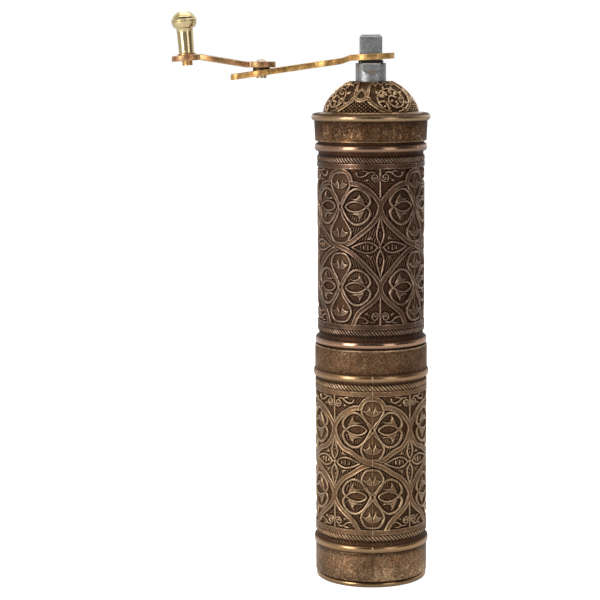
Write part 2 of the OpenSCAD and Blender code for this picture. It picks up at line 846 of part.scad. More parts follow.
module inner_outline() {
    bulge_r = norm([bulge_half, inner_run_w / 2]);
    circle(r = arm_hub_r);
    translate([x_rivet, -inner_run_w / 2])
        square([-x_rivet, inner_run_w]);
    translate([-bulge_reach, 0])
        circle(r = bulge_r);
    translate([x_rivet, 0])
        circle(r = inner_lobe_r);
    translate([x_rivet - tip_len + tip_r, -tip_r])
        square([tip_len - tip_r, 2 * tip_r]);
    translate([x_rivet - tip_len + tip_r, 0])
        circle(r = tip_r);
}

// The side of the inner arm: hub, ramp, falling run
module inner_side() {
    ramp_end = hub_flat + ramp_len;
    hub_x = 2 * arm_hub_r;
    hub_z = z_arm + hub_x * tan(hub_tilt);
    bend_z = z_arm - hub_flat * tan(hub_tilt);
    ramp_z = z_arm - ramp_end * tan(arm_tilt);
    end_x = x_rivet - 2 * tip_len;
    end_z = z_arm + end_x * tan(arm_tilt);
    polygon([
        [hub_x, hub_z - hub_half_t],
        [hub_x, hub_z + hub_half_t],
        [-hub_flat, bend_z + hub_half_t],
        [-ramp_end, ramp_z + half_t],
        [end_x, end_z + half_t],
        [end_x, end_z - half_t],
        [-ramp_end, ramp_z - half_t],
        [-hub_flat, bend_z - hub_half_t]]);
}

module crank_inner_arm() {
    slab_w = 4 * arm_hub_r;
    hole_w = square_w + 2 * running_fit;
    color("tan")
        difference() {
            intersection() {
                translate([0, slab_w / 2, 0])
                    rotate([90, 0, 0])
                        linear_extrude(slab_w)
                            inner_side();
                linear_extrude(z_square_top)
                    difference() {
                        inner_outline();
                        square(hole_w, center = true);
                    }
            }
            translate([x_rivet, 0, z_rivet - 2 * arm_t])
                cylinder(d = rivet_d + 2 * fixed_fit, h = 4 * arm_t, $fn = 32);
        }
}

// Everything above, or below, one face of the inner arm
module beyond_arm(side) {
    reach = 2 * (inner_reach + tip_len);
    arm_frame()
        translate([0, 0, side * (arm_t / 2 + reach / 2)])
            cube(reach, center = true);
}

// A rivet's head with a round crown
module round_head(r, h) {
    crown_r = (r * r + h * h) / (2 * h);
    intersection() {
        translate([0, 0, h - crown_r])
            sphere(r = crown_r, $fn = 48);
        cylinder(r = r, h = h, $fn = 48);
    }
}

module fold_rivet() {
    z_foot = z_rivet - half_t - rivet_head_h;
    z_top_head = z_lobe + arm_t + face_gap;
    color("burlywood") {
        translate([x_rivet, 0, z_foot + rivet_head_h / 2])
            cylinder(d = rivet_d, h = z_top_head - z_foot, $fn = 32);
        intersection() {
            translate([x_rivet, 0, z_foot])
                cylinder(d = rivet_head_d, h = 2 * rivet_head_h, $fn = 48);
            beyond_arm(-1);
        }
        translate([x_rivet, 0, z_top_head])
            round_head(rivet_head_d / 2, rivet_head_h);
    }
}

// The washer is tapered, so that the outer arm turns level on the sloping inner arm
module rivet_washer() {
    color("goldenrod")
        difference() {
            intersection() {
                translate([x_rivet, 0, z_rivet])
                    cylinder(d = rivet_washer_d, h = z_lobe - face_gap - z_rivet, $fn = 48);
                beyond_arm(1);
            }
            translate([x_rivet, 0, z_rivet])
                cylinder(d = rivet_d + 2 * fixed_fit, h = z_lobe, $fn = 32);
        }
}

module outer_outline() {
    side_r = (swell_half * swell_half + outer_swell * outer_swell) / (2 * outer_swell);
    side_y = side_r - outer_run_w / 2 - outer_swell;
    circle(r = outer_lobe_r);
    translate([-outer_reach, -outer_run_w / 2])
        square([outer_reach, outer_run_w]);
    translate([-swell_mid, 0])
        intersection() {
            translate([0, side_y])
                circle(r = side_r);
            translate([0, -side_y])
                circle(r = side_r);
        }
    translate([-outer_reach, 0])
        circle(r = knob_lobe_r);
}

// The side of the outer arm: level lobe, rising run, falling end
module outer_side() {
    end_x = -outer_reach - 2 * knob_lobe_r;
    end_z = z_bend - (end_flat + 2 * knob_lobe_r) * tan(end_fall);
    polygon([
        [2 * outer_lobe_r, z_lobe],
        [2 * outer_lobe_r, z_lobe + arm_t],
        [-run_start, z_lobe + arm_t],
        [-run_end, z_bend + arm_t],
        [end_x, end_z + arm_t],
        [end_x, end_z],
        [-run_end, z_bend],
        [-run_start, z_lobe]]);
}

module crank_outer_arm() {
    slab_w = 4 * knob_lobe_r;
    color("burlywood")
        difference() {
            translate([x_rivet, 0, 0])
                intersection() {
                    translate([0, slab_w / 2, 0])
                        rotate([90, 0, 0])
                            linear_extrude(slab_w)
                                outer_side();
                    linear_extrude(z_bend + 2 * arm_t)
                        outer_outline();
                }
            translate([x_rivet, 0, z_lobe - arm_t])
                cylinder(d = rivet_d + 2 * running_fit, h = 3 * arm_t, $fn = 32);
            knob_frame()
                drum(pin_d / 2 + fixed_fit, -2 * arm_t, 3 * arm_t);
        }
}

// The knob's own frame: on the arm's upper face, along the pin
module knob_frame() {
    translate([x_knob, 0, z_end + arm_t])
        rotate([0, -end_fall, 0])
            children();
}

module knob_pin() {
    color("goldenrod")
        knob_frame() {
            drum(pin_foot_d / 2, -end_t - pin_foot_h, pin_foot_h - eps);
            drum(pin_d / 2, -end_t - pin_foot_h / 2, k_pin_top + end_t);
            drum(pin_head_d / 2, k_pin_head, pin_head_h);
        }
}

module knob_washer() {
    color("gold")
        knob_frame()
            difference() {
                drum(knob_washer_d / 2, k_washer, knob_washer_h);
                drum(pin_d / 2 + fixed_fit, 0, 2 * knob_washer_h);
            }
}

module knob() {
    color("gold")
        knob_frame()
            difference() {
                union() {
                    frustum(stem_low_d / 2, stem_top_d / 2, k_knob, stem_h + eps);
                    intersection() {
                        translate([0, 0, k_ridge])
                            sphere(r = head_r);
                        drum(head_d, k_head, head_low_h);
                    }
                    intersection() {
                        translate([0, 0, k_crown - crown_ball_r])
                            sphere(r = crown_ball_r);
                        drum(head_d, k_ridge, head_top_h);
                    }
                    drum(head_r + ridge_stand, k_ridge - ridge_h / 2, ridge_h);
                }
                drum(pin_d / 2 + running_fit, 0, 2 * k_crown);
                drum(pin_head_d / 2 + running_fit, k_pin_head - face_gap, k_crown);
            }
}

base_plate();
cup_shell();
bean_chamber();
neck_sleeve();
outer_burr();
burr_screws();
lower_bridge();
bridge_screws();
top_bridge();
bridge_bush();
return_spring();
spring_washer();
retaining_clip();
spindle();
inner_burr();
drive_pin();
thrust_ball();
adjusting_screw();
lid();
crank_inner_arm();
fold_rivet();
rivet_washer();
crank_outer_arm();
knob_pin();
knob_washer();
knob();
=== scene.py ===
import json
import math

import bmesh
import bpy
import numpy as np
from bpy.props import FloatProperty, FloatVectorProperty, IntProperty, PointerProperty
from mathutils import Matrix, Vector


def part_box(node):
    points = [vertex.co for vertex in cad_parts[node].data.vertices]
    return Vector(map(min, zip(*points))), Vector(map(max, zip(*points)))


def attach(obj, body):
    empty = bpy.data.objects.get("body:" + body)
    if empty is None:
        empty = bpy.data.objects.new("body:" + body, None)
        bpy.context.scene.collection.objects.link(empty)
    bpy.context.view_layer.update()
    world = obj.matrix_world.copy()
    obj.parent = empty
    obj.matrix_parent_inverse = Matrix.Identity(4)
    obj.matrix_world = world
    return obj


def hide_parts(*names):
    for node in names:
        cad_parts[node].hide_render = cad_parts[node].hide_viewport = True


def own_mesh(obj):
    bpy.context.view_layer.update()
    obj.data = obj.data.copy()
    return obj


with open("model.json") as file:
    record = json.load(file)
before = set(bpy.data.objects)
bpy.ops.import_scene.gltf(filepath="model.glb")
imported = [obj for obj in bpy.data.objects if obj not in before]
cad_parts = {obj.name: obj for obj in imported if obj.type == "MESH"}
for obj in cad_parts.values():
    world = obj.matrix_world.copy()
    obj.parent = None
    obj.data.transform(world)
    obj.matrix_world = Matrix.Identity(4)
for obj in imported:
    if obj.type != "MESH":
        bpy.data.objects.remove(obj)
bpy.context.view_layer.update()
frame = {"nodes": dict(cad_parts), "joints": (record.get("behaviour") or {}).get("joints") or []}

bl_info = {
    "name": "Coffee grinder",
    "version": (1, 0, 0),
    "blender": (4, 5, 0),
    "location": "3D View > Sidebar > Grinder",
    "description": "Dresses a hand coffee grinder in cast brass with relief ornament",
    "category": "Object",
}

MM = 0.001
NODES = frame["nodes"]

# Half of one repeat of the wall ornament, in the drawing's own millimetres
HALF_REPEAT = 17.8
# Millimetres of the dome's drawing to one radian round the dome
DOME_GAUGE = 15.5
# Height of the round end of a medallion's upper or lower petal
PETAL_ROUND = 8.8

# Levels of the relief about the mean wall, in millimetres
RELIEF_LOW = -0.68
RELIEF_HIGH = 0.33
OUTLINE_TOP = 0.27
PETAL_TOP = 0.25
LEAF_TOP = 0.26
VEIN_TOP = 0.24
TICK_TOP = 0.06

# Levels on the body, in millimetres: the cup's seat on its foot plate, the top of its foot, the span round
# its plain rim that carries no seam, and the joint between cup and chamber
SEAT = 2.2
FOOT_TOP = 14.1
RIM_LOW, RIM_HIGH = 86.8, 97.0
SPLIT = 96.6
# Radius that parts the outside of the walls from their bores
BORDER_INSIDE = 20.8
# How far past its ends a band still takes in a station
TOUCH = 0.01


def length(name, description, default):
    """A size in metres for a property group."""
    return FloatProperty(name=name, description=description, default=default, unit="LENGTH", precision=5)


def turn(name, description, degrees):
    """An angle for a property group."""
    return FloatProperty(name=name, description=description, default=math.radians(degrees), subtype="ANGLE")


def power(name, description, default):
    """A lamp's power for a property group."""
    return FloatProperty(name=name, description=description, default=default, unit="POWER")


def colour(name, description, default):
    """A colour for a property group."""
    return FloatVectorProperty(
        name=name, description=description, default=default, subtype="COLOR", size=3, min=0.0, max=1.0
    )


class GrinderSizes(bpy.types.PropertyGroup):
    """Sizes of the grinder's ornament and edges."""

    ribbon_half: length("Ribbon half width", "Half the width of the interlaced ribbons", 0.00112)
    line_half: length("Line half width", "Half the width of the petal outlines", 0.00056)
    vein_half: length("Vein half width", "Half the width of the finest lines", 0.00035)
    seam_half: length("Seam half width", "Half the width of the casting seam", 0.00017)
    seam_height: length("Seam height", "How far the casting seam stands up", 0.00026)
    rope_stand: length("Rope height", "How far the rope borders stand up", 0.00045)
    rope_slant: FloatProperty(name="Rope slant", description="How far the strands lean", default=2.6)
    cup_strands: IntProperty(name="Cup rope strands", description="Strands round the cup", default=92)
    chamber_strands: IntProperty(
        name="Chamber rope strands", description="Strands round the chamber", default=100
    )
    cup_turn: turn("Cup seam angle", "Where the cup's seam stands, from the front", -0.5)
    chamber_turn: turn("Chamber seam angle", "Where the chamber's seam stands, from the front", 53.0)
    dome_turn: turn("Dome angle", "Where one triangle of the dome stands, from the front", -16.5)
    cup_squeeze: turn("Cup squeeze", "How much nearer to the seam the cup's flowers stand", 2.7)
    arm_bevel: length("Arm edge", "Rounding of the crank arms' edges", 0.0005)
    steel_bevel: length("Steel edge", "Rounding of the spindle's edges", 0.00025)


class GrinderColours(bpy.types.PropertyGroup):
    """Colours of the grinder's finishes."""

    # The polishing colours and the cup's worn colour also paint highlights: across the beads, on the lid's
    # rim and the foot's lip, on the cup's rim lip and down its foot
    cup_worn_and_highlight: colour("Cup worn", "Bright brass on the cup's worn edges", (0.47, 0.325, 0.195))
    cup_body: colour("Cup body", "Brown brass of the cup's flats", (0.19, 0.112, 0.060))
    cup_recess: colour("Cup recess", "Dark patina in the cup's ground", (0.078, 0.038, 0.018))
    cup_polish_and_highlight: colour("Cup polish", "Polished brass of the cup's beads", (0.40, 0.245, 0.125))
    chamber_worn: colour("Chamber worn", "Worn copper on the chamber's edges", (0.285, 0.192, 0.134))
    chamber_body: colour("Chamber body", "Brown copper of the chamber's flats", (0.092, 0.054, 0.034))
    chamber_recess: colour("Chamber recess", "Dark patina in the chamber's ground", (0.060, 0.028, 0.015))
    chamber_polish_and_highlight: colour("Chamber polish", "Polished copper of the chamber's beads", (0.43, 0.255, 0.165))
    lid_worn: colour("Lid worn", "Worn brass on the dome's edges", (0.62, 0.42, 0.245))
    lid_body: colour("Lid body", "Brown brass of the lid's flats", (0.115, 0.062, 0.028))
    lid_recess: colour("Lid recess", "Dark patina in the dome's ground", (0.055, 0.027, 0.013))
    lid_polish_and_highlight: colour("Lid polish", "Polished brass of the lid's rim", (0.36, 0.24, 0.135))
    plating: colour("Arm plating", "Yellow plating of the crank's inner arm", (0.70, 0.40, 0.14))
    plating_tint: colour("Arm tint", "Brown bloom in that plating", (0.36, 0.175, 0.06))
    plating_rubbed: colour("Arm rubbed", "Rubbed edges of that plating", (0.66, 0.44, 0.20))
    outer_plating: colour("Outer arm plating", "Plating of the crank's outer arm", (0.46, 0.235, 0.10))
    outer_tint: colour("Outer arm tint", "Pink bloom in that plating", (0.38, 0.14, 0.095))
    outer_rubbed: colour("Outer arm rubbed", "Rubbed edges of that plating", (0.62, 0.40, 0.20))
    green_tint: colour("Green tint", "Green bloom in the arms' plating", (0.36, 0.31, 0.12))
    knob: colour("Knob", "Turned brass of the knob", (0.68, 0.55, 0.30))
    knob_tint: colour("Knob tint", "Darker brass in the knob", (0.56, 0.44, 0.22))
    zinc: colour("Spindle zinc", "Grey plating of the spindle", (0.36, 0.365, 0.37))
    zinc_tint: colour("Zinc tint", "Dark spots in that plating", (0.15, 0.155, 0.16))
    # The zinc's rubbed colour also paints the highlights on the spindle's flats and slopes
    zinc_rubbed_and_highlight: colour("Zinc rubbed", "Bright edges of that plating", (0.85, 0.85, 0.85))
    iron: colour("Burr iron", "Cast iron of the burrs", (0.10, 0.10, 0.105))
    iron_tint: colour("Iron tint", "Brown spots in the burrs' iron", (0.17, 0.15, 0.13))
    # The washer's dark brown is partly its own iron and partly paints the shade between the crank's arms
    washer_brown_and_shade: colour("Browned iron", "Washer between the crank's arms", (0.15, 0.085, 0.045))
    browned_tint: colour("Browned tint", "Dark spots in that washer", (0.05, 0.03, 0.02))
    steel: colour("Inner steel", "Bright steel inside the body", (0.52, 0.52, 0.51))
    steel_tint: colour("Steel tint", "Duller steel inside the body", (0.40, 0.40, 0.40))
    rivet: colour("Rivet steel", "Yellowed steel of the fold rivet", (0.50, 0.44, 0.33))
    rivet_tint: colour("Rivet tint", "Brown spots in the rivet", (0.36, 0.28, 0.19))


class GrinderStage(bpy.types.PropertyGroup):
    """Where the camera and the lights stand."""

    camera_side: length("Camera side", "Camera position across the view", -0.0288)
    camera_back: length("Camera distance", "Camera distance to the spindle's axis", 0.758)
    camera_height: length("Camera height", "Camera height above the floor", 0.2186)
    camera_tilt: turn("Camera tilt", "How far the camera looks down", 7.85)
    camera_roll: turn("Camera roll", "How far the camera leans", -0.33)
    lens: FloatProperty(name="Lens", description="Focal length", default=113.1, unit="CAMERA")
    aim_height: length("Aim height", "Level that the lamps point at", 0.11)
    key: power("Key light", "Power of the light on the left", 12.0)
    fill: power("Fill light", "Power of the light on the right", 2.6)
    top: power("Top light", "Power of the light overhead", 8.0)


def sizes():
    return bpy.context.scene.grinder_sizes


# Ornament, drawn as lines and filled shapes on a flat repeat


def smooth_line(points, per=6):
    """A smooth line through a few points."""
    p = np.array(points, float)
    p = np.vstack([2 * p[0] - p[1], p, 2 * p[-1] - p[-2]])
    t = np.linspace(0, 1, per, endpoint=False)[:, None]
    runs = [
        0.5 * (2 * b + (c - a) * t + (2 * a - 5 * b + 4 * c - d) * t**2 + (3 * b - a - 3 * c + d) * t**3)
        for a, b, c, d in zip(p[:-3], p[1:-2], p[2:-1], p[3:])
    ]
    return np.vstack(runs + [p[-2:-1]])


def spiral_line(cx, cy, start_radius, end_radius, start, end, steps=40):
    """A spiral about a middle, between two angles in degrees."""
    a = np.radians(np.linspace(start, end, steps))
    r = np.linspace(start_radius, end_radius, steps)
    return np.column_stack([cx + r * np.cos(a), cy + r * np.sin(a)])


def flipped(points):
    """The same line mirrored in the level of its middle."""
    return [(x, -y) for x, y in points]


def cusped(runs):
    """One outline of smooth runs that meet in points."""
    return np.vstack([smooth_line(run) for run in runs])


def leaf_outline(x, y, degrees, leaf_length, width):
    """A small pointed leaf that grows from a place in one direction."""
    blade = [(0.0, 0.0), (0.3, 0.5), (0.6, 0.46), (1.0, 0.05), (0.7, -0.34), (0.35, -0.4)]
    along, across = np.array(blade).T * np.array([[leaf_length], [width]])
    c, s = math.cos(math.radians(degrees)), math.sin(math.radians(degrees))
    return np.column_stack([x + along * c - across * s, y + along * s + across * c])


def near_box(line, x, y, margin):
    """The places in a line's own box, grown by a margin."""
    low, high = np.min(line, axis=0) - margin, np.max(line, axis=0) + margin
    return np.flatnonzero((x > low[0]) & (x < high[0]) & (y > low[1]) & (y < high[1]))


def distance_to(line, x, y, reach=2.5):
    """How far each place is from a line, up to a reach."""
    best = np.full(x.shape, reach**2)
    for (ax, ay), (bx, by) in zip(line[:-1], line[1:]):
        at = near_box(((ax, ay), (bx, by)), x, y, reach)
        dx, dy = bx - ax, by - ay
        px, py = x[at] - ax, y[at] - ay
        t = np.clip((px * dx + py * dy) / max(dx * dx + dy * dy, 1e-12), 0, 1)
        best[at] = np.minimum(best[at], (px - t * dx) ** 2 + (py - t * dy) ** 2)
    return np.sqrt(best)


def inside(outline, x, y):
    """Which places lie inside a closed outline."""
    hit = np.zeros(x.shape, bool)
    at = near_box(outline, x, y, 0.01)
    px, py = x[at], y[at]
    within = np.zeros(px.shape, bool)
    for (ax, ay), (bx, by) in zip(outline, np.roll(outline, -1, axis=0)):
        if ay != by:
            within ^= ((ay > py) != (by > py)) & (px < (bx - ax) * (py - ay) / (by - ay) + ax)
    hit[at] = within
    return hit


def fade(d, edge, soft):
    """1 nearer than the edge and 0 beyond it, with a soft step."""
    t = np.clip((edge - d) / soft + 0.5, 0, 1)
    return t * t * (3 - 2 * t)


class Relief:
    """Levels of the ornament at places x and y of one repeat, in millimetres about the mean wall."""

    rail_top = 0.32

    def __init__(self, x, y):
        self.x = x
        self.y = y
        self.level = np.full(x.shape, RELIEF_LOW)

    def raise_to(self, share, top):
        self.level = np.maximum(self.level, RELIEF_LOW + (top - RELIEF_LOW) * share)

    def line(self, line, half, top):
        self.raise_to(fade(distance_to(line, self.x, self.y), half, 0.75 * half + 0.06), top)

    def ribbon(self, d, half, keep=1.0, top=0.1):
        """A flat strap with a rail along each edge, by the distance from its middle."""
        body = fade(d, half, 0.3) * (top - RELIEF_LOW)
        rails = (self.rail_top - top) * np.exp(-(((d - 0.72 * half) / 0.2) ** 2))
        self.level = np.maximum(self.level, RELIEF_LOW + (body + rails) * keep)

    def shape(self, outline, top, slope=0.5):
        """A filled shape whose sides slope up to its top."""
        d = distance_to(np.vstack([outline, outline[:1]]), self.x, self.y)
        self.raise_to(np.where(inside(outline, self.x, self.y), np.clip(0.35 + d / slope, 0, 1), 0), top)

    def floor(self, outline, level, crown):
        """Sets the ground inside an outline to a crowned level of its own."""
        within = inside(outline, self.x, self.y)
        d = distance_to(np.vstack([outline, outline[:1]]), self.x, self.y)
        ground = level + crown * np.clip(d / 3, 0, 1)
        self.level = np.where(within, np.maximum(self.level, ground), self.level)

    def dot(self, cx, cy, radius, top):
        d = np.hypot(self.x - cx, self.y - cy)
        self.raise_to(np.sqrt(np.clip(1 - (d / radius) ** 2, 0, 1)), top)


HEART = [
    (0.9, 0.3), (2.7, 3.4), (4.6, 5.6), (6.9, 6.9), (9.4, 6.8), (11.8, 5.4), (13.3, 3.4), (13.5, 1.7),
    (12.3, 0.1),
]
HALF_ALMOND = [(12.0, 0.1), (9.6, 1.5), (6.9, 2.0), (4.4, 1.5)]
ALMOND = HALF_ALMOND + [(2.7, 0.0)] + flipped(HALF_ALMOND)[::-1]
LEAF = (
    [(11.5, 0.9), (10.8, 2.5), (9.9, 4.2), (8.5, 6.2)],
    [(8.5, 6.2), (8.5, 4.6), (7.5, 3.5), (4.4, 3.2)],
    [(4.4, 3.2), (6.6, 2.3), (9.0, 2.0), (11.5, 0.9)],
)
# One leaf of the pair in a petal, about the petal's middle
SPRIG = (
    [(0.0, -1.95), (0.05, -0.35), (0.5, 0.75), (1.3, 1.95)],
    [(1.3, 1.95), (1.55, 0.75), (2.4, 0.25), (3.8, 0.35)],
    [(3.8, 0.35), (2.8, -0.85), (1.5, -1.65), (0.0, -1.95)],
)


def grains(x, y, pitch, gain, cut):
    """Rows of fine punched grains."""
    return np.clip(gain * np.cos(2 * math.pi * x / pitch) * np.cos(2 * math.pi * y / pitch) - cut, 0, 1)


def pounce(x, y):
    return grains(x, y, 1.36, 1.6, 0.25)


def medallion(r, cy, reach_up, reach_down, line, vein):
    """Four petals about a middle at level cy, one half of a mirrored pair."""
    shift = np.array([0.0, cy])
    heart = np.vstack([smooth_line(HEART), smooth_line(flipped(HEART))[::-1]]) + shift
    r.raise_to(pounce(r.x, r.y) * inside(heart, r.x, r.y), RELIEF_LOW + 0.34)
    r.line(heart, line, OUTLINE_TOP)
    almond = smooth_line(ALMOND) + shift
    r.line(almond, vein + 0.05, VEIN_TOP)
    r.floor(almond, RELIEF_LOW + 0.1, crown=0.16)
    for leaf in (LEAF, [flipped(run) for run in LEAF]):
        r.shape(cusped(leaf) + shift, LEAF_TOP, slope=0.55)
    for reach, wide, ground, leaf_size in (
        (reach_up, 4.75, -0.34, (1.2, 1.2)),
        (-reach_down, 5.0, -0.4, (1.25, 1.3)),
    ):
        way = math.copysign(1.0, reach)
        neck = abs(reach) - PETAL_ROUND
        half = [(0.35, 1.1), (1.6, 0.62 * neck + 0.7), (0.63 * wide, neck + 0.65), (wide, neck + 3.7)]
        half += [(0.95 * wide, neck + 6.1), (0.58 * wide, 0.965 * abs(reach)), (0.0, abs(reach))]
        petal = smooth_line([(across, way * out) for across, out in half])
        past_middle = [(-1.0, petal[-1][1]), (-1.0, petal[0][1])]
        r.floor(np.vstack([petal, past_middle]) + shift, ground, crown=0.14)
        r.line(petal + shift, line * 0.9, PETAL_TOP)
        middle = (0.0, reach - way * PETAL_ROUND / 2)
        r.shape(cusped(SPRIG) * leaf_size + shift + middle, LEAF_TOP)


def ribbons(r, x, h, edge, ribbon):
    """The two ribbons that cross at the middle of a repeat, and the arch over the upper medallion."""
    arch = smooth_line([(0.0, edge - 0.65), (2.5, edge - 1.1), (4.4, edge - 2.6), (5.6, h + 8.9)])
    upper = smooth_line([
        (5.2, h + 9.1), (8.8, h + 8.7), (12.7, h + 6.7), (16.0, h + 3.4), (17.75, h + 0.1), (16.5, h - 3.9),
        (13.5, h - 7.5), (9.3, 0.32 * h), (4.8, 0.115 * h), (0.0, 0.0),
    ])
    lower = smooth_line([
        (0.0, 0.0), (4.8, -0.115 * h), (9.1, -0.31 * h), (12.9, -h + 7.2), (16.2, -h + 3.6),
        (17.75, -h + 0.1), (16.4, -h - 3.4), (13.5, -h - 6.4), (10.3, -h - 8.7), (8.1, -h - 10.8),
        (6.0, -edge - 0.6),
    ])
    over = np.minimum(distance_to(upper, -x, r.y), distance_to(lower, x, r.y))
    under = np.minimum(distance_to(upper, x, r.y), distance_to(lower, -x, r.y))
    cut = 1 - fade(over, ribbon + 0.22, 0.3) * fade(np.hypot(x, r.y), 4.0, 1.5)
    r.ribbon(distance_to(arch, r.x, r.y), ribbon * 0.85)
    r.ribbon(over, ribbon)
    r.ribbon(under, ribbon, cut)


def star_flower(from_flower, y, h, vein):
    """Levels of the four-petalled flower between the medallions."""
    r = Relief(from_flower, np.abs(y))
    tall = 0.86 * (h - 3.4)
    tip = tall + 0.9
    wide_petal = [(1.2, 0.0), (2.8, 1.4), (5.4, 2.15), (8.6, 1.5), (12.2, 0.0)]
    tall_petal = [(0.0, 1.0), (1.15, 0.3 * tall), (1.5, 0.5 * tall), (0.95, 0.78 * tall), (0.0, tip)]
    for petal in (wide_petal, tall_petal):
        r.line(smooth_line(petal), vein + 0.03, VEIN_TOP)
    r.dot(0.0, 0.0, 0.95, LEAF_TOP)
    for place, tick in ((3.5, 0.5), (5.3, 0.9), (7.1, 0.6)):
        r.line(np.array([(place, 0.0), (place, tick)]), vein * 0.8, TICK_TOP)
    for share in (0.36, 0.52, 0.68):
        r.dot(0.0, share * tip, 0.36, TICK_TOP)
    sprout = [(2.9, 3.2), (4.4, 2.9), (6.3, 3.1), (4.9, 3.8), (4.2, 5.0), (3.5, 4.2)]
    r.shape(np.array(sprout), 0.02)
    return r.level


def corner_scroll(across, down, vein):
    """Levels of the scrolls in a corner, from the corner's own lines."""
    r = Relief(across, down)
    eye = (1.95, 2.9)
    r.line(np.array([(0.0, 0.0), (0.0, 10.0)]), vein, 0.16)
    r.line(spiral_line(*eye, 1.65, 0.55, 165, -330), vein * 0.9, 0.2)
    r.dot(*eye, 0.45, 0.16)
    r.line(smooth_line([(2.2, 1.1), (4.0, 1.0), (5.9, 2.3), (7.7, 2.8), (9.0, 2.2), (9.3, 1.2)]), vein, 0.18)
    r.line(smooth_line([(4.6, 1.5), (5.3, 0.7), (6.8, 0.6)]), vein * 0.9, 0.12)
    r.shape(np.array([(3.9, 2.9), (5.2, 3.5), (6.6, 4.2), (4.9, 4.5)]), 0.05, slope=0.4)
    return r.level


def wall_ornament(x, y, half_row, half_height):
    """Level of the wall's ornament. x runs across one repeat and y up from the crossing of the ribbons."""
    s = sizes()
    line, vein = s.line_half / MM, s.vein_half / MM
    h, edge = half_row, half_height
    side = np.abs(x)
    from_flower = HALF_REPEAT - side
    r = Relief(side, y)
    hatch = np.clip(0.9 * np.cos(2 * math.pi * (from_flower + 0.35 * np.abs(y)) / 1.08), 0, 1)
    between_rows = fade(np.abs(y), h - 1.5, 2.0)
    r.raise_to(hatch * between_rows, RELIEF_LOW + 0.42)
    r.raise_to(pounce(side, y) * (1 - between_rows), RELIEF_LOW + 0.36)
    ribbons(r, x, h, edge, s.ribbon_half / MM)
    medallion(r, h, edge - h - 1.45, h - 1.5, line, vein)
    medallion(r, -h, h - 2.5, edge - h - 0.85, line, vein)
    grow = (edge - h) / 13.5
    scroll = corner_scroll(from_flower / grow, (edge - np.abs(y)) / grow, vein)
    return np.maximum(np.maximum(r.level, star_flower(from_flower, y, h, vein)), scroll)


def dome_ornament(x, y):
    """Level of the dome's ornament. x runs across one repeat and y up from the dome's foot."""
    s = sizes()
    line, vein = s.line_half / MM, s.vein_half / MM
    deg = math.radians(1) * DOME_GAUGE
    side = np.abs(x)
    r = Relief(side, y)

    def at(points):
        return smooth_line([(a * deg, b) for a, b in points])

    triangle = at([(0.0, 5.2), (9.0, 5.0), (14.0, 3.9), (22.0, 2.0), (31.0, 0.2), (0.0, 0.2)])
    within = inside(triangle, side, y)
    r.raise_to(grains(side, y, 1.5, 1.8, 0.5) * within, RELIEF_HIGH)
    fine = 0.5 + 0.5 * np.cos(2 * math.pi * (x + 0.8 * y) / 0.95)
    r.raise_to(fine * ~within, RELIEF_LOW + 0.3)
    for strap, half in (
        ([(10.6, 6.4), (14.0, 4.6), (22.0, 2.5), (30.0, 0.9), (38.0, 0.1)], 0.8),
        ([(23.0, 17.5), (15.0, 14.6), (11.0, 11.4), (9.6, 8.4), (6.8, 6.4), (3.2, 5.5), (0.0, 5.3)], 0.8),
        ([(9.4, 6.8), (6.6, 8.6), (3.6, 10.2), (0.0, 10.8)], 0.66),
    ):
        r.ribbon(distance_to(at(strap), side, y), half, top=0.24)
    return np.maximum(r.level, dome_vine(x % (90 * deg), y, line, vein))


def dome_vine(across, up, line, vein):
    """Levels of the vine in a panel of the dome, with its leaves and berries."""
    r = Relief(across, up)
    vine = [
        (8.9, 0.9), (7.1, 3.8), (6.4, 7.2), (8.6, 10.2), (12.2, 11.5), (15.8, 10.2), (17.5, 6.8), (16.3, 3.6),
        (13.5, 2.2), (11.1, 3.5), (10.6, 6.0), (12.2, 7.7), (14.2, 6.8),
    ]
    r.line(smooth_line(vine), vein, VEIN_TOP)
    r.line(smooth_line([(7.2, 4.7), (8.7, 5.0), (9.9, 3.7), (10.3, 1.1)]), line * 0.8, 0.28)
    # Place, direction, length and width of each leaf
    for x, y, degrees, leaf_length, width in (
        (6.5, 7.8, -12, 2.6, 1.7), (8.5, 10.1, -48, 2.8, 1.6), (12.2, 11.4, -80, 2.5, 1.5),
        (15.7, 10.1, -130, 2.5, 1.5), (17.4, 6.7, 195, 2.3, 1.4), (16.2, 3.6, 118, 2.2, 1.3),
        (13.4, 2.2, 70, 2.0, 1.2), (7.0, 8.6, 120, 2.0, 1.1), (10.2, 11.0, 95, 2.2, 1.2),
        (14.0, 11.1, 60, 2.2, 1.2), (17.0, 8.6, 25, 2.2, 1.2), (17.2, 4.6, -20, 2.0, 1.1),
        (15.2, 2.5, -60, 1.8, 1.0), (5.4, 13.2, 30, 2.4, 1.2), (8.6, 14.4, -20, 2.4, 1.2),
        (12.2, 13.6, 25, 2.4, 1.2), (15.8, 14.4, -20, 2.4, 1.2),
    ):
        r.shape(leaf_outline(x, y, degrees, 1.25 * leaf_length, 1.35 * width), OUTLINE_TOP, slope=0.45)
    for x, y, radius in ((11.9, 5.2, 0.75), (13.6, 4.7, 0.6), (8.8, 2.8, 0.6)):
        r.dot(x, y, radius, 0.28)
    wave = [(5.0 + 2.6 * i, 15.9 if i % 2 else 14.2) for i in range(6)]
    r.line(smooth_line(wave), vein * 0.7, 0.2)
    return r.level


# Meshes


def part(name, mesh, material, body, replaced):
    """A finished piece that rides on a body and stands for CAD nodes."""
    piece = bpy.data.objects.new(name, mesh)
    bpy.context.scene.collection.objects.link(piece)
    mesh.materials.clear()
    mesh.materials.append(material)
    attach(piece, body)
    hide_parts(*replaced)
    return piece


def smooth_mesh(bm, name, sharp_degrees):
    """The mesh of a finished bmesh, smooth but for its sharp edges."""
    mesh = bpy.data.meshes.new(name)
    bm.to_mesh(mesh)
    bm.free()
    mesh.shade_smooth()
    if sharp_degrees:
        mesh.set_sharp_from_angle(angle=math.radians(sharp_degrees))
    return mesh


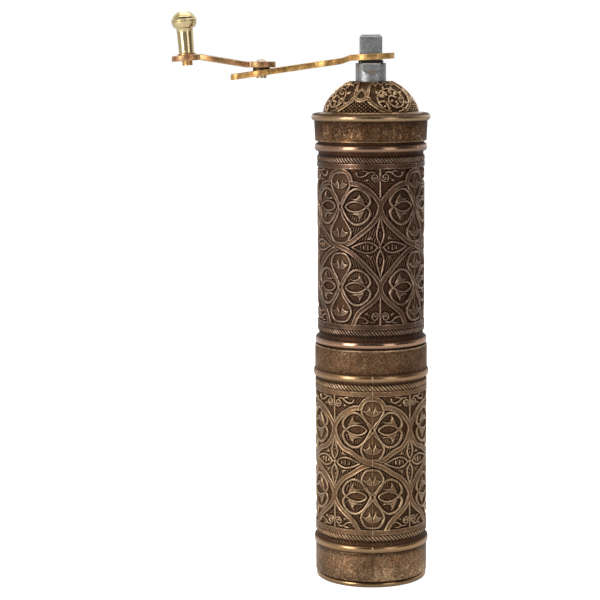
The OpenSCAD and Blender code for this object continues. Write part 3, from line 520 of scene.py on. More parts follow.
def spun_mesh(name, profile, steps, start=0.0, angle=2 * math.pi, closed=False, sharp_degrees=None):
    """Stations of (radius, level) in millimetres, spun about the axis from an angle off the front."""
    bm = bmesh.new()
    verts = [bm.verts.new((r * math.sin(start) * MM, -r * math.cos(start) * MM, z * MM)) for r, z in profile]
    edges = [bm.edges.new(pair) for pair in zip(verts, verts[1:])]
    if closed:
        edges.append(bm.edges.new((verts[-1], verts[0])))
    doublings = 0
    while steps % 2 == 0 and steps > 16:
        steps, angle, doublings = steps // 2, angle / 2, doublings + 1
    bmesh.ops.spin(
        bm, geom=verts + edges, cent=(0, 0, 0), axis=(0, 0, 1), dvec=(0, 0, 0), angle=angle, steps=steps,
        use_merge=False,
    )
    for _ in range(doublings):
        copy = bmesh.ops.duplicate(bm, geom=bm.verts[:] + bm.edges[:] + bm.faces[:])["geom"]
        moved = [v for v in copy if isinstance(v, bmesh.types.BMVert)]
        bmesh.ops.rotate(bm, verts=moved, cent=(0, 0, 0), matrix=Matrix.Rotation(angle, 3, "Z"))
        angle *= 2
    bmesh.ops.remove_doubles(bm, verts=bm.verts, dist=1e-6)
    bmesh.ops.recalc_face_normals(bm, faces=bm.faces)
    if not closed:
        outermost = max(bm.faces, key=lambda f: f.calc_center_median().xy.length)
        if outermost.normal.xy.dot(outermost.calc_center_median().xy) < 0:
            bmesh.ops.reverse_faces(bm, faces=bm.faces)
    return smooth_mesh(bm, name, sharp_degrees)


def stretch(r0, z0, r1, z1, steps):
    """Even stations from one point of a profile to another, without the last."""
    return [(r0 + (r1 - r0) * i / steps, z0 + (z1 - z0) * i / steps) for i in range(steps)]


def arc(r, z, radius, start, end, steps):
    """Even stations of an arc about a middle, both ends included. Angles in degrees, up from level."""
    angles = np.radians(np.linspace(start, end, steps))
    return [(r + radius * math.cos(a), z + radius * math.sin(a)) for a in angles]


def bead(wall, stand, z0, z1, steps=14):
    """Stations of a round bead that stands out from a wall, from its top down."""
    mid, half = (z0 + z1) / 2, (z1 - z0) / 2
    a = [math.pi * (i / steps - 0.5) for i in range(steps, -1, -1)]
    return [(wall + stand * math.cos(t) ** 0.8, mid + half * math.sin(t)) for t in a]


# Distances from a field's end to the ends of the fillet and of the rope beside it
LIP, FILLET, ROPE, ROPE_END = 0.12, 1.95, 2.1, 4.6
FILLET_ROWS, ROPE_ROWS = 6, 14
# How far the lip goes under the relief, and how far the rope and the relief's mean wall lie in
TUCK, ROPE_SINK, RELIEF_SINK = 1.05, 0.2, 0.35
# Relief that the patina reads in the hollows beside a rope or a bead and in the joints at the chamber's ends:
# dark patina, with painted shade
HOLLOW_PATINA_AND_SHADE = 0.28


def border_below(wall, field, sink, bead_top):
    """Stations from a field's lower end down to a bead: a fillet, a rope and a hollow."""
    stations = [(wall - TUCK, field), (wall - LIP, field)]
    stations += stretch(wall, field - LIP, wall, field - FILLET, FILLET_ROWS)
    stations += [(wall, field - FILLET), (wall - 0.15, field - ROPE)]
    stations += stretch(wall - ROPE_SINK, field - ROPE, wall - ROPE_SINK, field - ROPE_END, ROPE_ROWS)
    return stations + [(wall - sink, field - ROPE_END), (wall - sink, bead_top)]


def border_above(wall, field, sink, bead_low):
    """Stations from a bead down to a field's upper end: a hollow, a rope and a fillet."""
    stations = [(wall - sink, bead_low), (wall - sink, field + ROPE_END)]
    stations += stretch(wall - ROPE_SINK, field + ROPE_END, wall - ROPE_SINK, field + ROPE, ROPE_ROWS)
    stations += [(wall - 0.15, field + ROPE)]
    stations += stretch(wall, field + FILLET, wall, field + LIP, FILLET_ROWS)
    return stations + [(wall, field + LIP), (wall - LIP, field), (wall - TUCK, field)]


def places(mesh):
    """Place of each vertex, its angle off the front and its radius, in millimetres and radians."""
    co = np.empty(len(mesh.vertices) * 3)
    mesh.vertices.foreach_get("co", co)
    co = co.reshape(-1, 3) / MM
    return co, np.arctan2(co[:, 0], -co[:, 1]), np.hypot(co[:, 0], co[:, 1])


def put(mesh, co):
    mesh.vertices.foreach_set("co", (co * MM).ravel())
    mesh.update()


def push_out(mesh, co, share):
    """Moves each vertex away from the axis by a share of its radius."""
    put(mesh, co * np.column_stack([1 + share] * 2 + [np.ones(len(share))]))


def mark(mesh, **values):
    """Keeps values for each vertex, for the materials."""
    for name, kept in values.items():
        layer = mesh.attributes.new(name, "FLOAT", "POINT")
        layer.data.foreach_set("value", np.broadcast_to(kept, len(mesh.vertices)).astype(np.float32))


def repeat_place(angle, start, repeats):
    """Place within one repeat, from -1 to 1."""
    pitch = 2 * math.pi / repeats
    return ((angle - start + pitch / 2) % pitch - pitch / 2) / (pitch / 2)


def relief_grid(columns, rows, make):
    """Levels on an even grid over a stretch, and how far each place stands out from those around it."""
    across, up = np.meshgrid(np.arange(columns) * 2 / columns - 1, np.arange(rows + 1) * 2 / rows - 1)
    level = make(across.ravel(), up.ravel()).reshape(across.shape)
    tall = np.pad(level, ((2, 2), (0, 0)), mode="edge")
    around = sum(tall[i : i + rows + 1] for i in range(5)) / 5
    around = sum(np.roll(around, i, axis=1) for i in range(-2, 3)) / 5
    return level, np.clip((level - around) / 0.2, -1, 1)


def from_grid(grid, x, y):
    """Values of an even grid at places from -1 to 1."""
    rows, columns = grid.shape
    row = np.clip(np.round((y + 1) / 2 * (rows - 1)).astype(int), 0, rows - 1)
    return grid[row, np.round((x + 1) / 2 * columns).astype(int) % columns]


def mark_relief(mesh, level, edge, bare):
    """Keeps how high each place of a relief is, and how exposed, with the highest places rubbed bare."""
    rubbed = bare * np.clip((level - 0.1) / 0.1, 0, 1)
    mark(
        mesh, relief=np.clip((level - RELIEF_LOW) / (RELIEF_HIGH - RELIEF_LOW), 0, 1),
        edge=np.clip(edge + rubbed, -1, 1), polish=0.0, grain=0.3,
    )


def seam_rise(off):
    """Height of the fine line where the two halves of the mould met, at a distance from it in millimetres."""
    s = sizes()
    return s.seam_height / MM * np.exp(-((off * MM / s.seam_half) ** 2))


def ornamented_walls(name, wall, z0, z1, start, rows, steps, half_row, squeeze):
    """The two halves of an ornamented wall, from seam to seam."""
    tall = (z1 - z0) / 2

    def drawing(across, up):
        angle = across * math.pi / 2
        drawn = repeat_place(angle + squeeze * np.sin(2 * angle), 0.0, 4) * HALF_REPEAT
        return wall_ornament(drawn, up * tall, half_row, tall) + seam_rise(angle * wall)

    levels, edges = relief_grid(steps, rows, drawing)
    for half, side in enumerate(("right", "left")):
        profile = stretch(wall, z0, wall, z1, rows) + [(wall, z1)]
        mesh = spun_mesh(f"{name}_{side}", profile, steps, start + half * math.pi, math.pi)
        co, angle, radius = places(mesh)
        x, y = repeat_place(angle, start, 2), (co[:, 2] - z0) / tall - 1
        level = from_grid(levels, x, y)
        push_out(mesh, co, level / radius)
        mark_relief(mesh, level, from_grid(edges, x, y), bare=0.2)
        yield mesh


def finish_borders(mesh, start, strands, field, beads, bands, rim_lips=()):
    """Twists the ropes beside a field, raises the seam, and marks patina with painted shade in hollows and
    joints, bright lips with a painted highlight on the rim, and beads that shine by polishing and painted
    reflection.
    """
    s = sizes()
    low, high = field
    ropes = (low - ROPE_END, low - ROPE), (high + ROPE, high + ROPE_END)
    lips = low - 0.1, low - FILLET, high + FILLET, high + 0.1, *rim_lips
    co, angle, radius = places(mesh)
    z = co[:, 2]
    outer, in_foot = radius > BORDER_INSIDE, z < FOOT_TOP
    off = repeat_place(angle, start, 2) * math.pi / 2 * radius
    beside = seam_rise(off + 2 * s.seam_half / MM)
    seam = np.where(outer & ((z < RIM_LOW) | (z > RIM_HIGH)), seam_rise(off) - 0.7 * beside, 0.0)
    rise, edge = 0.6 * seam, np.where(in_foot, -2.5, 3.5) * seam
    relief, polish = np.full(len(z), 0.62), np.zeros(len(z))
    for z0, z1 in ropes:
        t = (z - (z0 + z1) / 2) / ((z1 - z0) / 2)
        on = outer & (np.abs(t) < 1.001)
        strand = np.abs(np.cos(strands / 2 * angle + s.rope_slant * t))
        crown = np.sqrt(np.clip(1 - t * t, 0, 1))
        height = strand**0.7 * (0.35 + 0.65 * crown)
        rise = np.where(on, rise + s.rope_stand / MM * (height - 0.55), rise)
        relief = np.where(on, np.clip(1.2 * height - 0.1, 0, 1), relief)
        edge = np.where(on, edge + 2.4 * (height - 0.62), edge)
    # Across each bead the relief rises from the flanks to the crown, which takes the shine: partly real
    # polishing, partly painted reflection, dark on the flanks and bright along the crown
    for z0, z1, shine in beads:
        t = np.clip(1 - np.abs(z - (z0 + z1) / 2) / ((z1 - z0) / 2), 0, 1)
        on = outer & (z > z0 - TOUCH) & (z < z1 + TOUCH)
        relief = np.where(on, np.clip(0.1 + 1.5 * t, 0, 1), relief)
        polish = np.where(on, np.clip(2.4 * t - 0.6, 0, 1) * shine, polish)
    for z0, z1, level in bands:
        relief = np.where(outer & (z > z0 - TOUCH) & (z < z1 + TOUCH), level, relief)
    # Painted light on the foot: it brightens downwards from a line of painted shade under its bead
    shade_line_low, shade_line_high = FOOT_TOP - 0.6, FOOT_TOP + 0.08
    edge = np.where(outer & (z < shade_line_low), edge + 0.42 * np.clip((13.0 - z) / 9.5, 0, 1), edge)
    edge = np.where(outer & (z > shade_line_low) & (z < shade_line_high), -0.7, edge)
    # Lips rubbed bright; the cup's rim lips also paint a highlight along its top edge
    for level in lips:
        edge = np.where(outer, edge + 0.75 * np.exp(-(((z - level) / 0.16) ** 2)), edge)
    relief = np.where(in_foot, np.clip(relief - 3.5 * np.abs(seam), 0, 1), relief)
    grain = np.where(in_foot, 1.0, np.where((z > RIM_LOW + 0.1) & (z < RIM_HIGH), 0.8, 0.4))
    push_out(mesh, co, rise / np.maximum(radius, 1))
    mark(mesh, relief=relief, edge=np.clip(edge, -1, 1), polish=polish, grain=grain)
    mesh.set_sharp_from_angle(angle=math.radians(38))


def edge_wear(face, rounded):
    """Brighter where an edge was rounded."""
    return 0.6 if rounded else 0.0


def bevelled_copy(name, node, width, segments, wear=edge_wear, cuts=(), drop=None):
    """A merged copy of a CAD node, cut at some levels, with sharp edges rounded and worn places marked, along
    with painted highlights and shade where the given function puts them.
    """
    bm = bmesh.new()
    bm.from_mesh(NODES[node].data)
    bmesh.ops.remove_doubles(bm, verts=bm.verts, dist=2e-6)
    bmesh.ops.dissolve_limit(bm, angle_limit=math.radians(1.0), verts=bm.verts, edges=bm.edges)
    for v in bm.verts if drop else ():
        v.co.z -= drop(v.co.z / MM) * MM
    for level in cuts:
        every = bm.verts[:] + bm.edges[:] + bm.faces[:]
        bmesh.ops.bisect_plane(bm, geom=every, plane_co=(0, 0, level * MM), plane_no=(0, 0, 1))
    sharp = [e for e in bm.edges if len(e.link_faces) == 2 and e.calc_face_angle(0.0) > math.radians(30)]
    made = bmesh.ops.bevel(
        bm, geom=sharp, offset=width, offset_type="OFFSET", affect="EDGES", segments=segments, profile=0.5,
        material=-1, clamp_overlap=True,
    )
    rounded = set(made["faces"])
    edge = bm.loops.layers.float.new("edge")
    bm.normal_update()
    for face in bm.faces:
        for loop in face.loops:
            loop[edge] = wear(face, face in rounded)
    bmesh.ops.triangulate(bm, faces=[f for f in bm.faces if len(f.verts) > 4])
    return smooth_mesh(bm, name, 32)


# Materials


class Tree:
    """A shader node tree. Inputs of the nodes it adds are numbers, colours or other nodes' sockets."""

    def __init__(self, tree):
        self.nodes = tree.nodes
        self.links = tree.links

    def put(self, socket, value):
        """Sets a socket, or links it to another."""
        if isinstance(value, bpy.types.NodeSocket):
            self.links.new(value, socket)
        elif isinstance(value, (int, float)):
            socket.default_value = value
        else:
            socket.default_value = (*value[:3], 1.0)[: len(socket.default_value)]

    def node(self, kind, inputs, **settings):
        n = self.nodes.new(kind)
        for key, value in settings.items():
            setattr(n, key, value)
        for key, value in inputs.items():
            self.put(n.inputs[key], value)
        return n

    def maths(self, operation, a, b, clamp=False):
        return self.node("ShaderNodeMath", {0: a, 1: b}, operation=operation, use_clamp=clamp).outputs[0]

    def plus(self, a, b):
        return self.maths("ADD", a, b)

    def minus(self, a, b, clamp=False):
        return self.maths("SUBTRACT", a, b, clamp)

    def times(self, a, b):
        return self.maths("MULTIPLY", a, b)

    def larger(self, a, b):
        return self.maths("MAXIMUM", a, b)

    def blend(self, share, a, b, mode="MIX"):
        """One colour over another by a share."""
        inputs = {0: share, 6: a, 7: b}
        return self.node("ShaderNodeMix", inputs, data_type="RGBA", blend_type=mode).outputs[2]

    def grey(self, level):
        return self.node("ShaderNodeCombineColor", {0: level, 1: level, 2: level}).outputs[0]

    def shaded(self, tone, level):
        """A colour times one value."""
        return self.blend(1.0, tone, self.grey(level), "MULTIPLY")

    def between(self, value, low, high, to_low=0.0, to_high=1.0):
        """A value's smooth step from one range to another."""
        inputs = {0: value, 1: low, 2: high, 3: to_low, 4: to_high}
        return self.node("ShaderNodeMapRange", inputs, interpolation_type="SMOOTHSTEP").outputs[0]

    def place(self):
        return self.nodes.new("ShaderNodeTexCoord").outputs["Object"]

    def noise(self, vector, scale, detail=4.0, rough=0.55):
        inputs = {"Vector": vector, "Scale": scale, "Detail": detail, "Roughness": rough}
        return self.node("ShaderNodeTexNoise", inputs).outputs[0]

    def attribute(self, name):
        return self.node("ShaderNodeAttribute", {}, attribute_name=name).outputs["Fac"]

    def group(self, name, **inputs):
        """The outputs of a shared node group."""
        return self.node("ShaderNodeGroup", inputs, node_tree=bpy.data.node_groups[name]).outputs

    def camera_ray(self):
        return self.nodes.new("ShaderNodeLightPath").outputs["Is Camera Ray"]


def shader_group(name, inputs, outputs):
    """A shader node group by its inputs' defaults and its outputs' kinds: its tree and its end sockets."""
    group = bpy.data.node_groups.new(name, "ShaderNodeTree")
    for title, default in inputs.items():
        kind = "NodeSocketFloat" if isinstance(default, float) else "NodeSocketColor"
        group.interface.new_socket(title, in_out="INPUT", socket_type=kind).default_value = default
    for title, kind in outputs.items():
        group.interface.new_socket(title, in_out="OUTPUT", socket_type=f"NodeSocket{kind}")
    return Tree(group), group.nodes.new("NodeGroupInput").outputs, group.nodes.new("NodeGroupOutput").inputs


def mottle_group():
    """Broad and fine uneven toning of an old metal surface."""
    t, given, result = shader_group("Mottle", {"Scale": 90.0, "Amount": 0.35}, {"Shade": "Float"})
    place = t.place()
    slow = t.times(t.minus(t.noise(place, given["Scale"], 3.0, 0.6), 0.5), 5.0)
    quick = t.times(t.minus(t.noise(place, 1500.0, 2.0, 0.65), 0.5), 12.0)
    t.put(result["Shade"], t.maths("POWER", 2.0, t.times(t.plus(slow, quick), given["Amount"])))


def patina_group():
    """Dark patina in the hollows, brown metal on the flats, bright metal on worn edges, and painted shade in
    the creases beside raised lines.
    """
    inputs = {"Relief": 0.5, "Edge": 0.0, "Shade": 1.0}
    inputs |= {"Recess": (0.02, 0.01, 0.01, 1), "Body": (0.16, 0.1, 0.05, 1), "Worn": (0.46, 0.32, 0.16, 1)}
    t, given, result = shader_group("Patina", inputs, {"Colour": "Color", "Wear": "Float"})
    relief, edge, shade = given["Relief"], given["Edge"], given["Shade"]
    place = t.place()
    uneven = t.minus(t.noise(place, 520.0, 5.0, 0.65), 0.5)
    broad = t.minus(t.noise(place, 120.0, 3.0), 0.5)
    flat = t.between(t.plus(relief, t.times(uneven, 0.5)), 0.1, 0.75)
    # Bright where the edge value is high: worn edges, and also the painted highlights that the borders mark
    # in that value
    exposed = t.plus(edge, t.plus(t.times(uneven, 1.7), t.times(broad, 1.2)))
    rub = t.times(t.between(exposed, 0.15, 0.95), t.between(relief, 0.1, 0.5))
    # Painted shade: darker where a place lies lower than those around it, as in the creases beside raised
    # lines and the dark lines marked on the foot
    painted_crease_shade = t.times(shade, t.between(edge, -0.9, -0.05, 0.35, 1.0))
    ruddy_share = t.between(t.noise(place, 260.0, 3.0), 0.45, 0.65, 0.0, 0.7)
    ruddy = t.blend(ruddy_share, (1.0, 1.0, 1.0), (1.1, 0.9, 0.8))
    tone = t.blend(1.0, t.blend(flat, given["Recess"], given["Body"]), ruddy, "MULTIPLY")
    t.put(result["Colour"], t.blend(rub, t.shaded(tone, painted_crease_shade), t.shaded(given["Worn"], shade)))
    t.put(result["Wear"], t.larger(t.times(flat, 0.55), rub))


def grain_group():
    """Fine pits and scratches of a handled metal surface."""
    outputs = {"Height": "Float", "Mask": "Float"}
    t, given, result = shader_group("Grain", {"Pits": 2600.0, "Lines": 0.3}, outputs)
    place = t.place()
    pits = t.noise(place, given["Pits"], 3.0, 0.7)
    across = t.node("ShaderNodeMapping", {"Vector": place, "Scale": (60.0, 60.0, 5200.0)}).outputs[0]
    rings = t.noise(across, 1.0, 3.0, 0.7)
    t.put(result["Height"], t.plus(pits, t.times(rings, given["Lines"])))
    t.put(result["Mask"], t.between(pits, 0.35, 0.7))


def speckle_group():
    """Small bright flecks where the finish has rubbed through."""
    t, given, result = shader_group("Speckle", {"Scale": 1500.0}, {"Flecks": "Float"})
    place = t.place()
    small = t.noise(place, given["Scale"], 4.0, 0.75)
    patch = t.between(t.noise(place, 110.0, 3.0), 0.4, 0.65)
    t.put(result["Flecks"], t.times(t.between(small, 0.52, 0.66), patch))


def material(name):
    """The tree and the shader's inputs of a new material."""
    m = bpy.data.materials.new(name)
    m.use_nodes = True
    return Tree(m.node_tree), m.node_tree.nodes["Principled BSDF"].inputs


def bump(t, shader, height, strength, distance):
    inputs = {"Height": height, "Strength": strength, "Distance": distance}
    t.put(shader["Normal"], t.node("ShaderNodeBump", inputs).outputs[0])


def cast_brass(name, worn, body, recess, polish_and_highlight_tone, scale, fleck, dull=0.42, gloss=0.27):
    """Cast and patinated brass that reads the piece's relief, edges, polishing and grain, marks which carry
    painted shade and painted highlights as well as patina and wear.
    """
    t, shader = material(name)
    relief, edge, polish, grain = (t.attribute(kept) for kept in ("relief", "edge", "polish", "grain"))
    shade = t.group("Mottle", Scale=scale, Amount=t.times(grain, 0.55))["Shade"]
    patina = t.group("Patina", Relief=relief, Edge=edge, Shade=shade, Recess=recess, Body=body, Worn=worn)
    wear = patina["Wear"]
    share = t.times(t.between(relief, 0.0, 0.5, 0.3, 1.0), t.between(grain, 0.2, 1.0, 0.3 * fleck, fleck))
    flecks = t.times(t.group("Speckle", Scale=1700.0)["Flecks"], share)
    flecked = t.blend(flecks, patina["Colour"], [(a + b) / 2 for a, b in zip(worn, polish_and_highlight_tone)])
    # The shine blends towards the colour of polishing: real polishing, and painted highlights and reflection
    # on beads, rims and lips
    shine = t.times(polish, t.between(relief, 0.25, 0.8))
    t.put(shader["Base Color"], t.blend(shine, flecked, polish_and_highlight_tone))
    pits = t.group("Grain", Pits=2600.0, Lines=0.25)
    rough = t.plus(t.between(wear, 0.0, 1.0, dull + 0.14, dull - 0.14), t.times(pits["Mask"], 0.08))
    t.put(shader["Roughness"], t.minus(rough, t.times(shine, gloss), clamp=True))
    t.put(shader["Metallic"], t.between(wear, 0.0, 0.6, 0.6, 1.0))
    t.put(shader["Specular IOR Level"], 0.05)
    bump(t, shader, pits["Height"], 0.25, 0.06 * MM)


def plated_steel(name, base, tints, rough, spot_scale, uneven=0.18, lines=0.3, rubbed=None, grain=0.3):
    """Plated or bare metal with blooms of other tints by share, a rubbed tone on worn edges that also paints
    highlights, and painted shade where the edge value falls below zero.
    """
    t, shader = material(name)
    shade = t.group("Mottle", Scale=spot_scale, Amount=uneven)["Shade"]
    place = t.place()
    tone = base
    for i, (tint, share) in enumerate(tints):
        spots = t.noise(place, spot_scale * (2.2 - 0.7 * i), 5.0, 0.62)
        tone = t.blend(t.between(spots, 0.38, 0.66, 0.0, share), tone, tint)
    tone = t.shaded(tone, shade)
    pits = t.group("Grain", Pits=3000.0, Lines=lines)
    dull = t.plus(t.times(pits["Mask"], 0.02 + 0.4 * grain), rough)
    if rubbed:
        edge = t.attribute("edge")
        patches = t.between(t.noise(place, 380.0, 4.0, 0.65), 0.3, 0.55, 0.25, 1.0)
        wear = t.times(t.larger(edge, 0.0), patches)
        # Painted shade where the edge value is below zero; the rubbed tone also paints the highlights marked
        # in that value
        tone = t.blend(wear, t.shaded(tone, t.between(edge, -1.0, 0.0, 0.12, 1.0)), rubbed)
        dull = t.minus(dull, t.times(wear, 0.1))
    t.put(shader["Base Color"], tone)
    t.put(shader["Roughness"], dull)
    t.put(shader["Metallic"], 1.0)
    if grain:
        bump(t, shader, pits["Height"], grain, 0.05 * MM)


def finish_of(name):
    """A finish that was made before, by its name."""
    if name not in bpy.data.materials:
        raise RuntimeError(f"the finish {name} hasn't been made")
    return bpy.data.materials[name]


class GrinderOperator:
    """What the grinder's operators share."""

    bl_options = {"REGISTER", "UNDO"}


class GRINDER_OT_stage(GrinderOperator, bpy.types.Operator):
    """Sets up the pale floor, the soft lights and the camera"""

    bl_idname = "grinder.stage"
    bl_label = "Stage"

    def execute(self, context):
        scene = context.scene
        st = scene.grinder_stage
        scene.view_settings.view_transform = "Standard"
        self.camera(scene, st)
        self.floor(scene)
        for name, place, size, watts in (
            ("key light", (-0.96, -0.86, 0.40), (0.5, 1.2), st.key),
            ("fill light", (0.74, -0.98, 0.40), (0.5, 1.0), st.fill),
            ("top light", (0.0, 0.15, 1.35), (1.2, 1.2), st.top),
        ):
            self.lamp(scene, name, place, size, watts, st.aim_height)
        self.surroundings(scene)
        return {"FINISHED"}

    def camera(self, scene, st):
        data = bpy.data.cameras.new("Camera")
        data.lens = st.lens
        data.sensor_width = 36.0
        data.clip_end = 50.0
        camera = bpy.data.objects.new("Camera", data)
        tilt = Matrix.Rotation(math.radians(90) - st.camera_tilt, 4, "X")
        look = tilt @ Matrix.Rotation(st.camera_roll, 4, "Z")
        camera.matrix_world = Matrix.Translation((st.camera_side, -st.camera_back, st.camera_height)) @ look
        scene.collection.objects.link(camera)
        scene.camera = camera

    def floor(self, scene):
        bm = bmesh.new()
        bmesh.ops.create_circle(bm, cap_ends=True, radius=4.0, segments=96)
        mesh = bpy.data.meshes.new("floor")
        bm.to_mesh(mesh)
        bm.free()
        floor = bpy.data.objects.new("floor", mesh)
        scene.collection.objects.link(floor)
        t, shader = material("pale floor")
        t.put(shader["Base Color"], t.blend(t.noise(t.place(), 3.0), [0.90] * 3, [0.93] * 3))
        t.put(shader["Roughness"], 0.85)
        t.put(shader["Emission Color"], (1.0, 1.0, 1.0))
        t.put(shader["Emission Strength"], t.times(t.camera_ray(), 0.8))
        mesh.materials.append(finish_of("pale floor"))

    def lamp(self, scene, name, place, size, watts, aim_height):
        data = bpy.data.lights.new(name, "AREA")
        data.shape = "RECTANGLE"
        data.size, data.size_y = size
        data.energy = watts
        lamp = bpy.data.objects.new(name, data)
        lamp.location = place
        way = Vector((0.0, 0.0, aim_height)) - Vector(place)
        lamp.rotation_euler = way.to_track_quat("-Z", "Y").to_euler()
        scene.collection.objects.link(lamp)

    def surroundings(self, scene):
        """White to the camera; to the metal, bright behind and on the left and dark elsewhere."""
        world = bpy.data.worlds.new("studio")
        scene.world = world
        world.use_nodes = True
        t = Tree(world.node_tree)
        way = t.nodes.new("ShaderNodeTexCoord").outputs["Generated"]
        split = t.node("ShaderNodeSeparateXYZ", {0: way}).outputs
        behind = t.between(split[1], -0.2, 0.75, 0.10, 1.0)
        left = t.between(split[0], -0.95, -0.2, 0.65, 0.0)
        seen = t.larger(t.larger(behind, left), t.camera_ray())
        t.put(t.nodes["Background"].inputs[0], t.grey(seen))


class GRINDER_OT_finishes(GrinderOperator, bpy.types.Operator):
    """Makes the shared node groups and every metal finish"""

    bl_idname = "grinder.finishes"
    bl_label = "Finishes"

    def execute(self, context):
        c = context.scene.grinder_colours
        for make in (mottle_group, patina_group, grain_group, speckle_group):
            make()
        cup = c.cup_worn_and_highlight, c.cup_body, c.cup_recess, c.cup_polish_and_highlight
        chamber = c.chamber_worn, c.chamber_body, c.chamber_recess, c.chamber_polish_and_highlight
        lid = c.lid_worn, c.lid_body, c.lid_recess, c.lid_polish_and_highlight
        cast_brass("cup brass", *cup, scale=70.0, fleck=0.9)
        cast_brass("chamber brass", *chamber, scale=80.0, fleck=0.4, dull=0.37)
        cast_brass("lid brass", *lid, scale=120.0, fleck=0.8, gloss=0.17)
        blooms = [(c.plating_tint, 0.85), (c.green_tint, 0.3)]
        plated_steel("yellow plating", c.plating, blooms, 0.38, 190.0, uneven=0.22, rubbed=c.plating_rubbed)
        blooms = [(c.outer_tint, 0.95), (c.green_tint, 0.6)]
        plated_steel(
            "bloomed plating", c.outer_plating, blooms, 0.36, 130.0, uneven=0.2, rubbed=c.outer_rubbed
        )
        blooms = [(c.knob_tint, 0.4)]
        plated_steel("turned brass", c.knob, blooms, 0.2, 90.0, uneven=0.05, lines=0.6, grain=0.0)
        blooms = [(c.zinc_tint, 0.6)]
        plated_steel("grey zinc", c.zinc, blooms, 0.42, 560.0, uneven=0.13, rubbed=c.zinc_rubbed_and_highlight)
        plated_steel("burr iron", c.iron, [(c.iron_tint, 0.6)], 0.42, 200.0)
        plated_steel("browned iron", c.washer_brown_and_shade, [(c.browned_tint, 0.7)], 0.5, 200.0)
        plated_steel("inner steel", c.steel, [(c.steel_tint, 0.5)], 0.28, 150.0)
        plated_steel("rivet steel", c.rivet, [(c.rivet_tint, 0.6)], 0.3, 200.0)
        return {"FINISHED"}


class GRINDER_OT_cup(GrinderOperator, bpy.types.Operator):
    """Builds the cup's wall with its relief, borders and bore"""

    bl_idname = "grinder.cup"
    bl_label = "Cup"

    def execute(self, context):
        s = sizes()
        brass = finish_of("cup brass")
        low, high, wall, bore = 23.8, 78.1, 22.75, 20.5
        foot_bead, rim_bead = (14.2, 17.4), (83.6, RIM_LOW)
        sink, bead_wall, stand = 0.4, wall - 0.35, 1.0
        for mesh in ornamented_walls(
            "cup_relief", wall - RELIEF_SINK, low, high, s.cup_turn, rows=272, steps=352, half_row=13.6,
            squeeze=s.cup_squeeze,
        ):
            part(mesh.name, mesh, brass, "cup", ["cup_shell"])
        profile = border_below(wall, low, sink, foot_bead[1]) + bead(bead_wall, stand, *foot_bead)
        profile += [(bead_wall, foot_bead[0]), (wall - 0.1, FOOT_TOP + 0.06), (wall, FOOT_TOP - 0.1)]
        profile += stretch(wall, FOOT_TOP - 0.5, wall, SEAT + 0.8, 6)
        profile += [(wall, SEAT + 0.7), (wall - 0.15, SEAT + 0.3), (wall - 0.6, SEAT + 0.05)]
        profile += [(bore, SEAT), (bore, 40.0), (bore, 70.0), (bore, SPLIT - 0.25)]
        profile += [(bore + 0.25, SPLIT), (wall - 0.3, SPLIT), (wall, SPLIT - 0.3)]
        profile += stretch(wall, SPLIT - 0.6, wall, RIM_LOW + 0.6, 5)
        profile += [(wall, RIM_LOW + 0.2), (wall - 0.1, RIM_LOW + 0.04), (bead_wall, rim_bead[1])]
        profile += bead(bead_wall, stand, *rim_bead) + border_above(wall, high, sink, rim_bead[0])
        mesh = spun_mesh("cup_borders", profile, 704, s.cup_turn)
        finish_borders(
            mesh, s.cup_turn, s.cup_strands, (low, high), beads=[(*foot_bead, 1.0), (*rim_bead, 0.8)],
            # Relief 0.0 at the seat paints shade in the joint above the foot plate, the hollows beside the
            # beads are patina with painted shade, and 0.2 just above the rim bead paints shade there
            bands=[
                (SEAT - 0.1, SEAT + 0.32, 0.0), (SEAT + 0.4, FOOT_TOP, 0.69),
                (foot_bead[1], low - ROPE_END - TOUCH, HOLLOW_PATINA_AND_SHADE),
                (high + ROPE_END + TOUCH, rim_bead[0] - TOUCH, HOLLOW_PATINA_AND_SHADE),
                (RIM_LOW + TOUCH, SPLIT + 0.1, 0.38), (RIM_LOW + TOUCH, RIM_LOW + 0.7, 0.2),
            ],
            rim_lips=(SPLIT - 0.25, SPLIT - 0.15),
        )
        part("cup_borders", mesh, brass, "cup", ["cup_shell"])
        return {"FINISHED"}


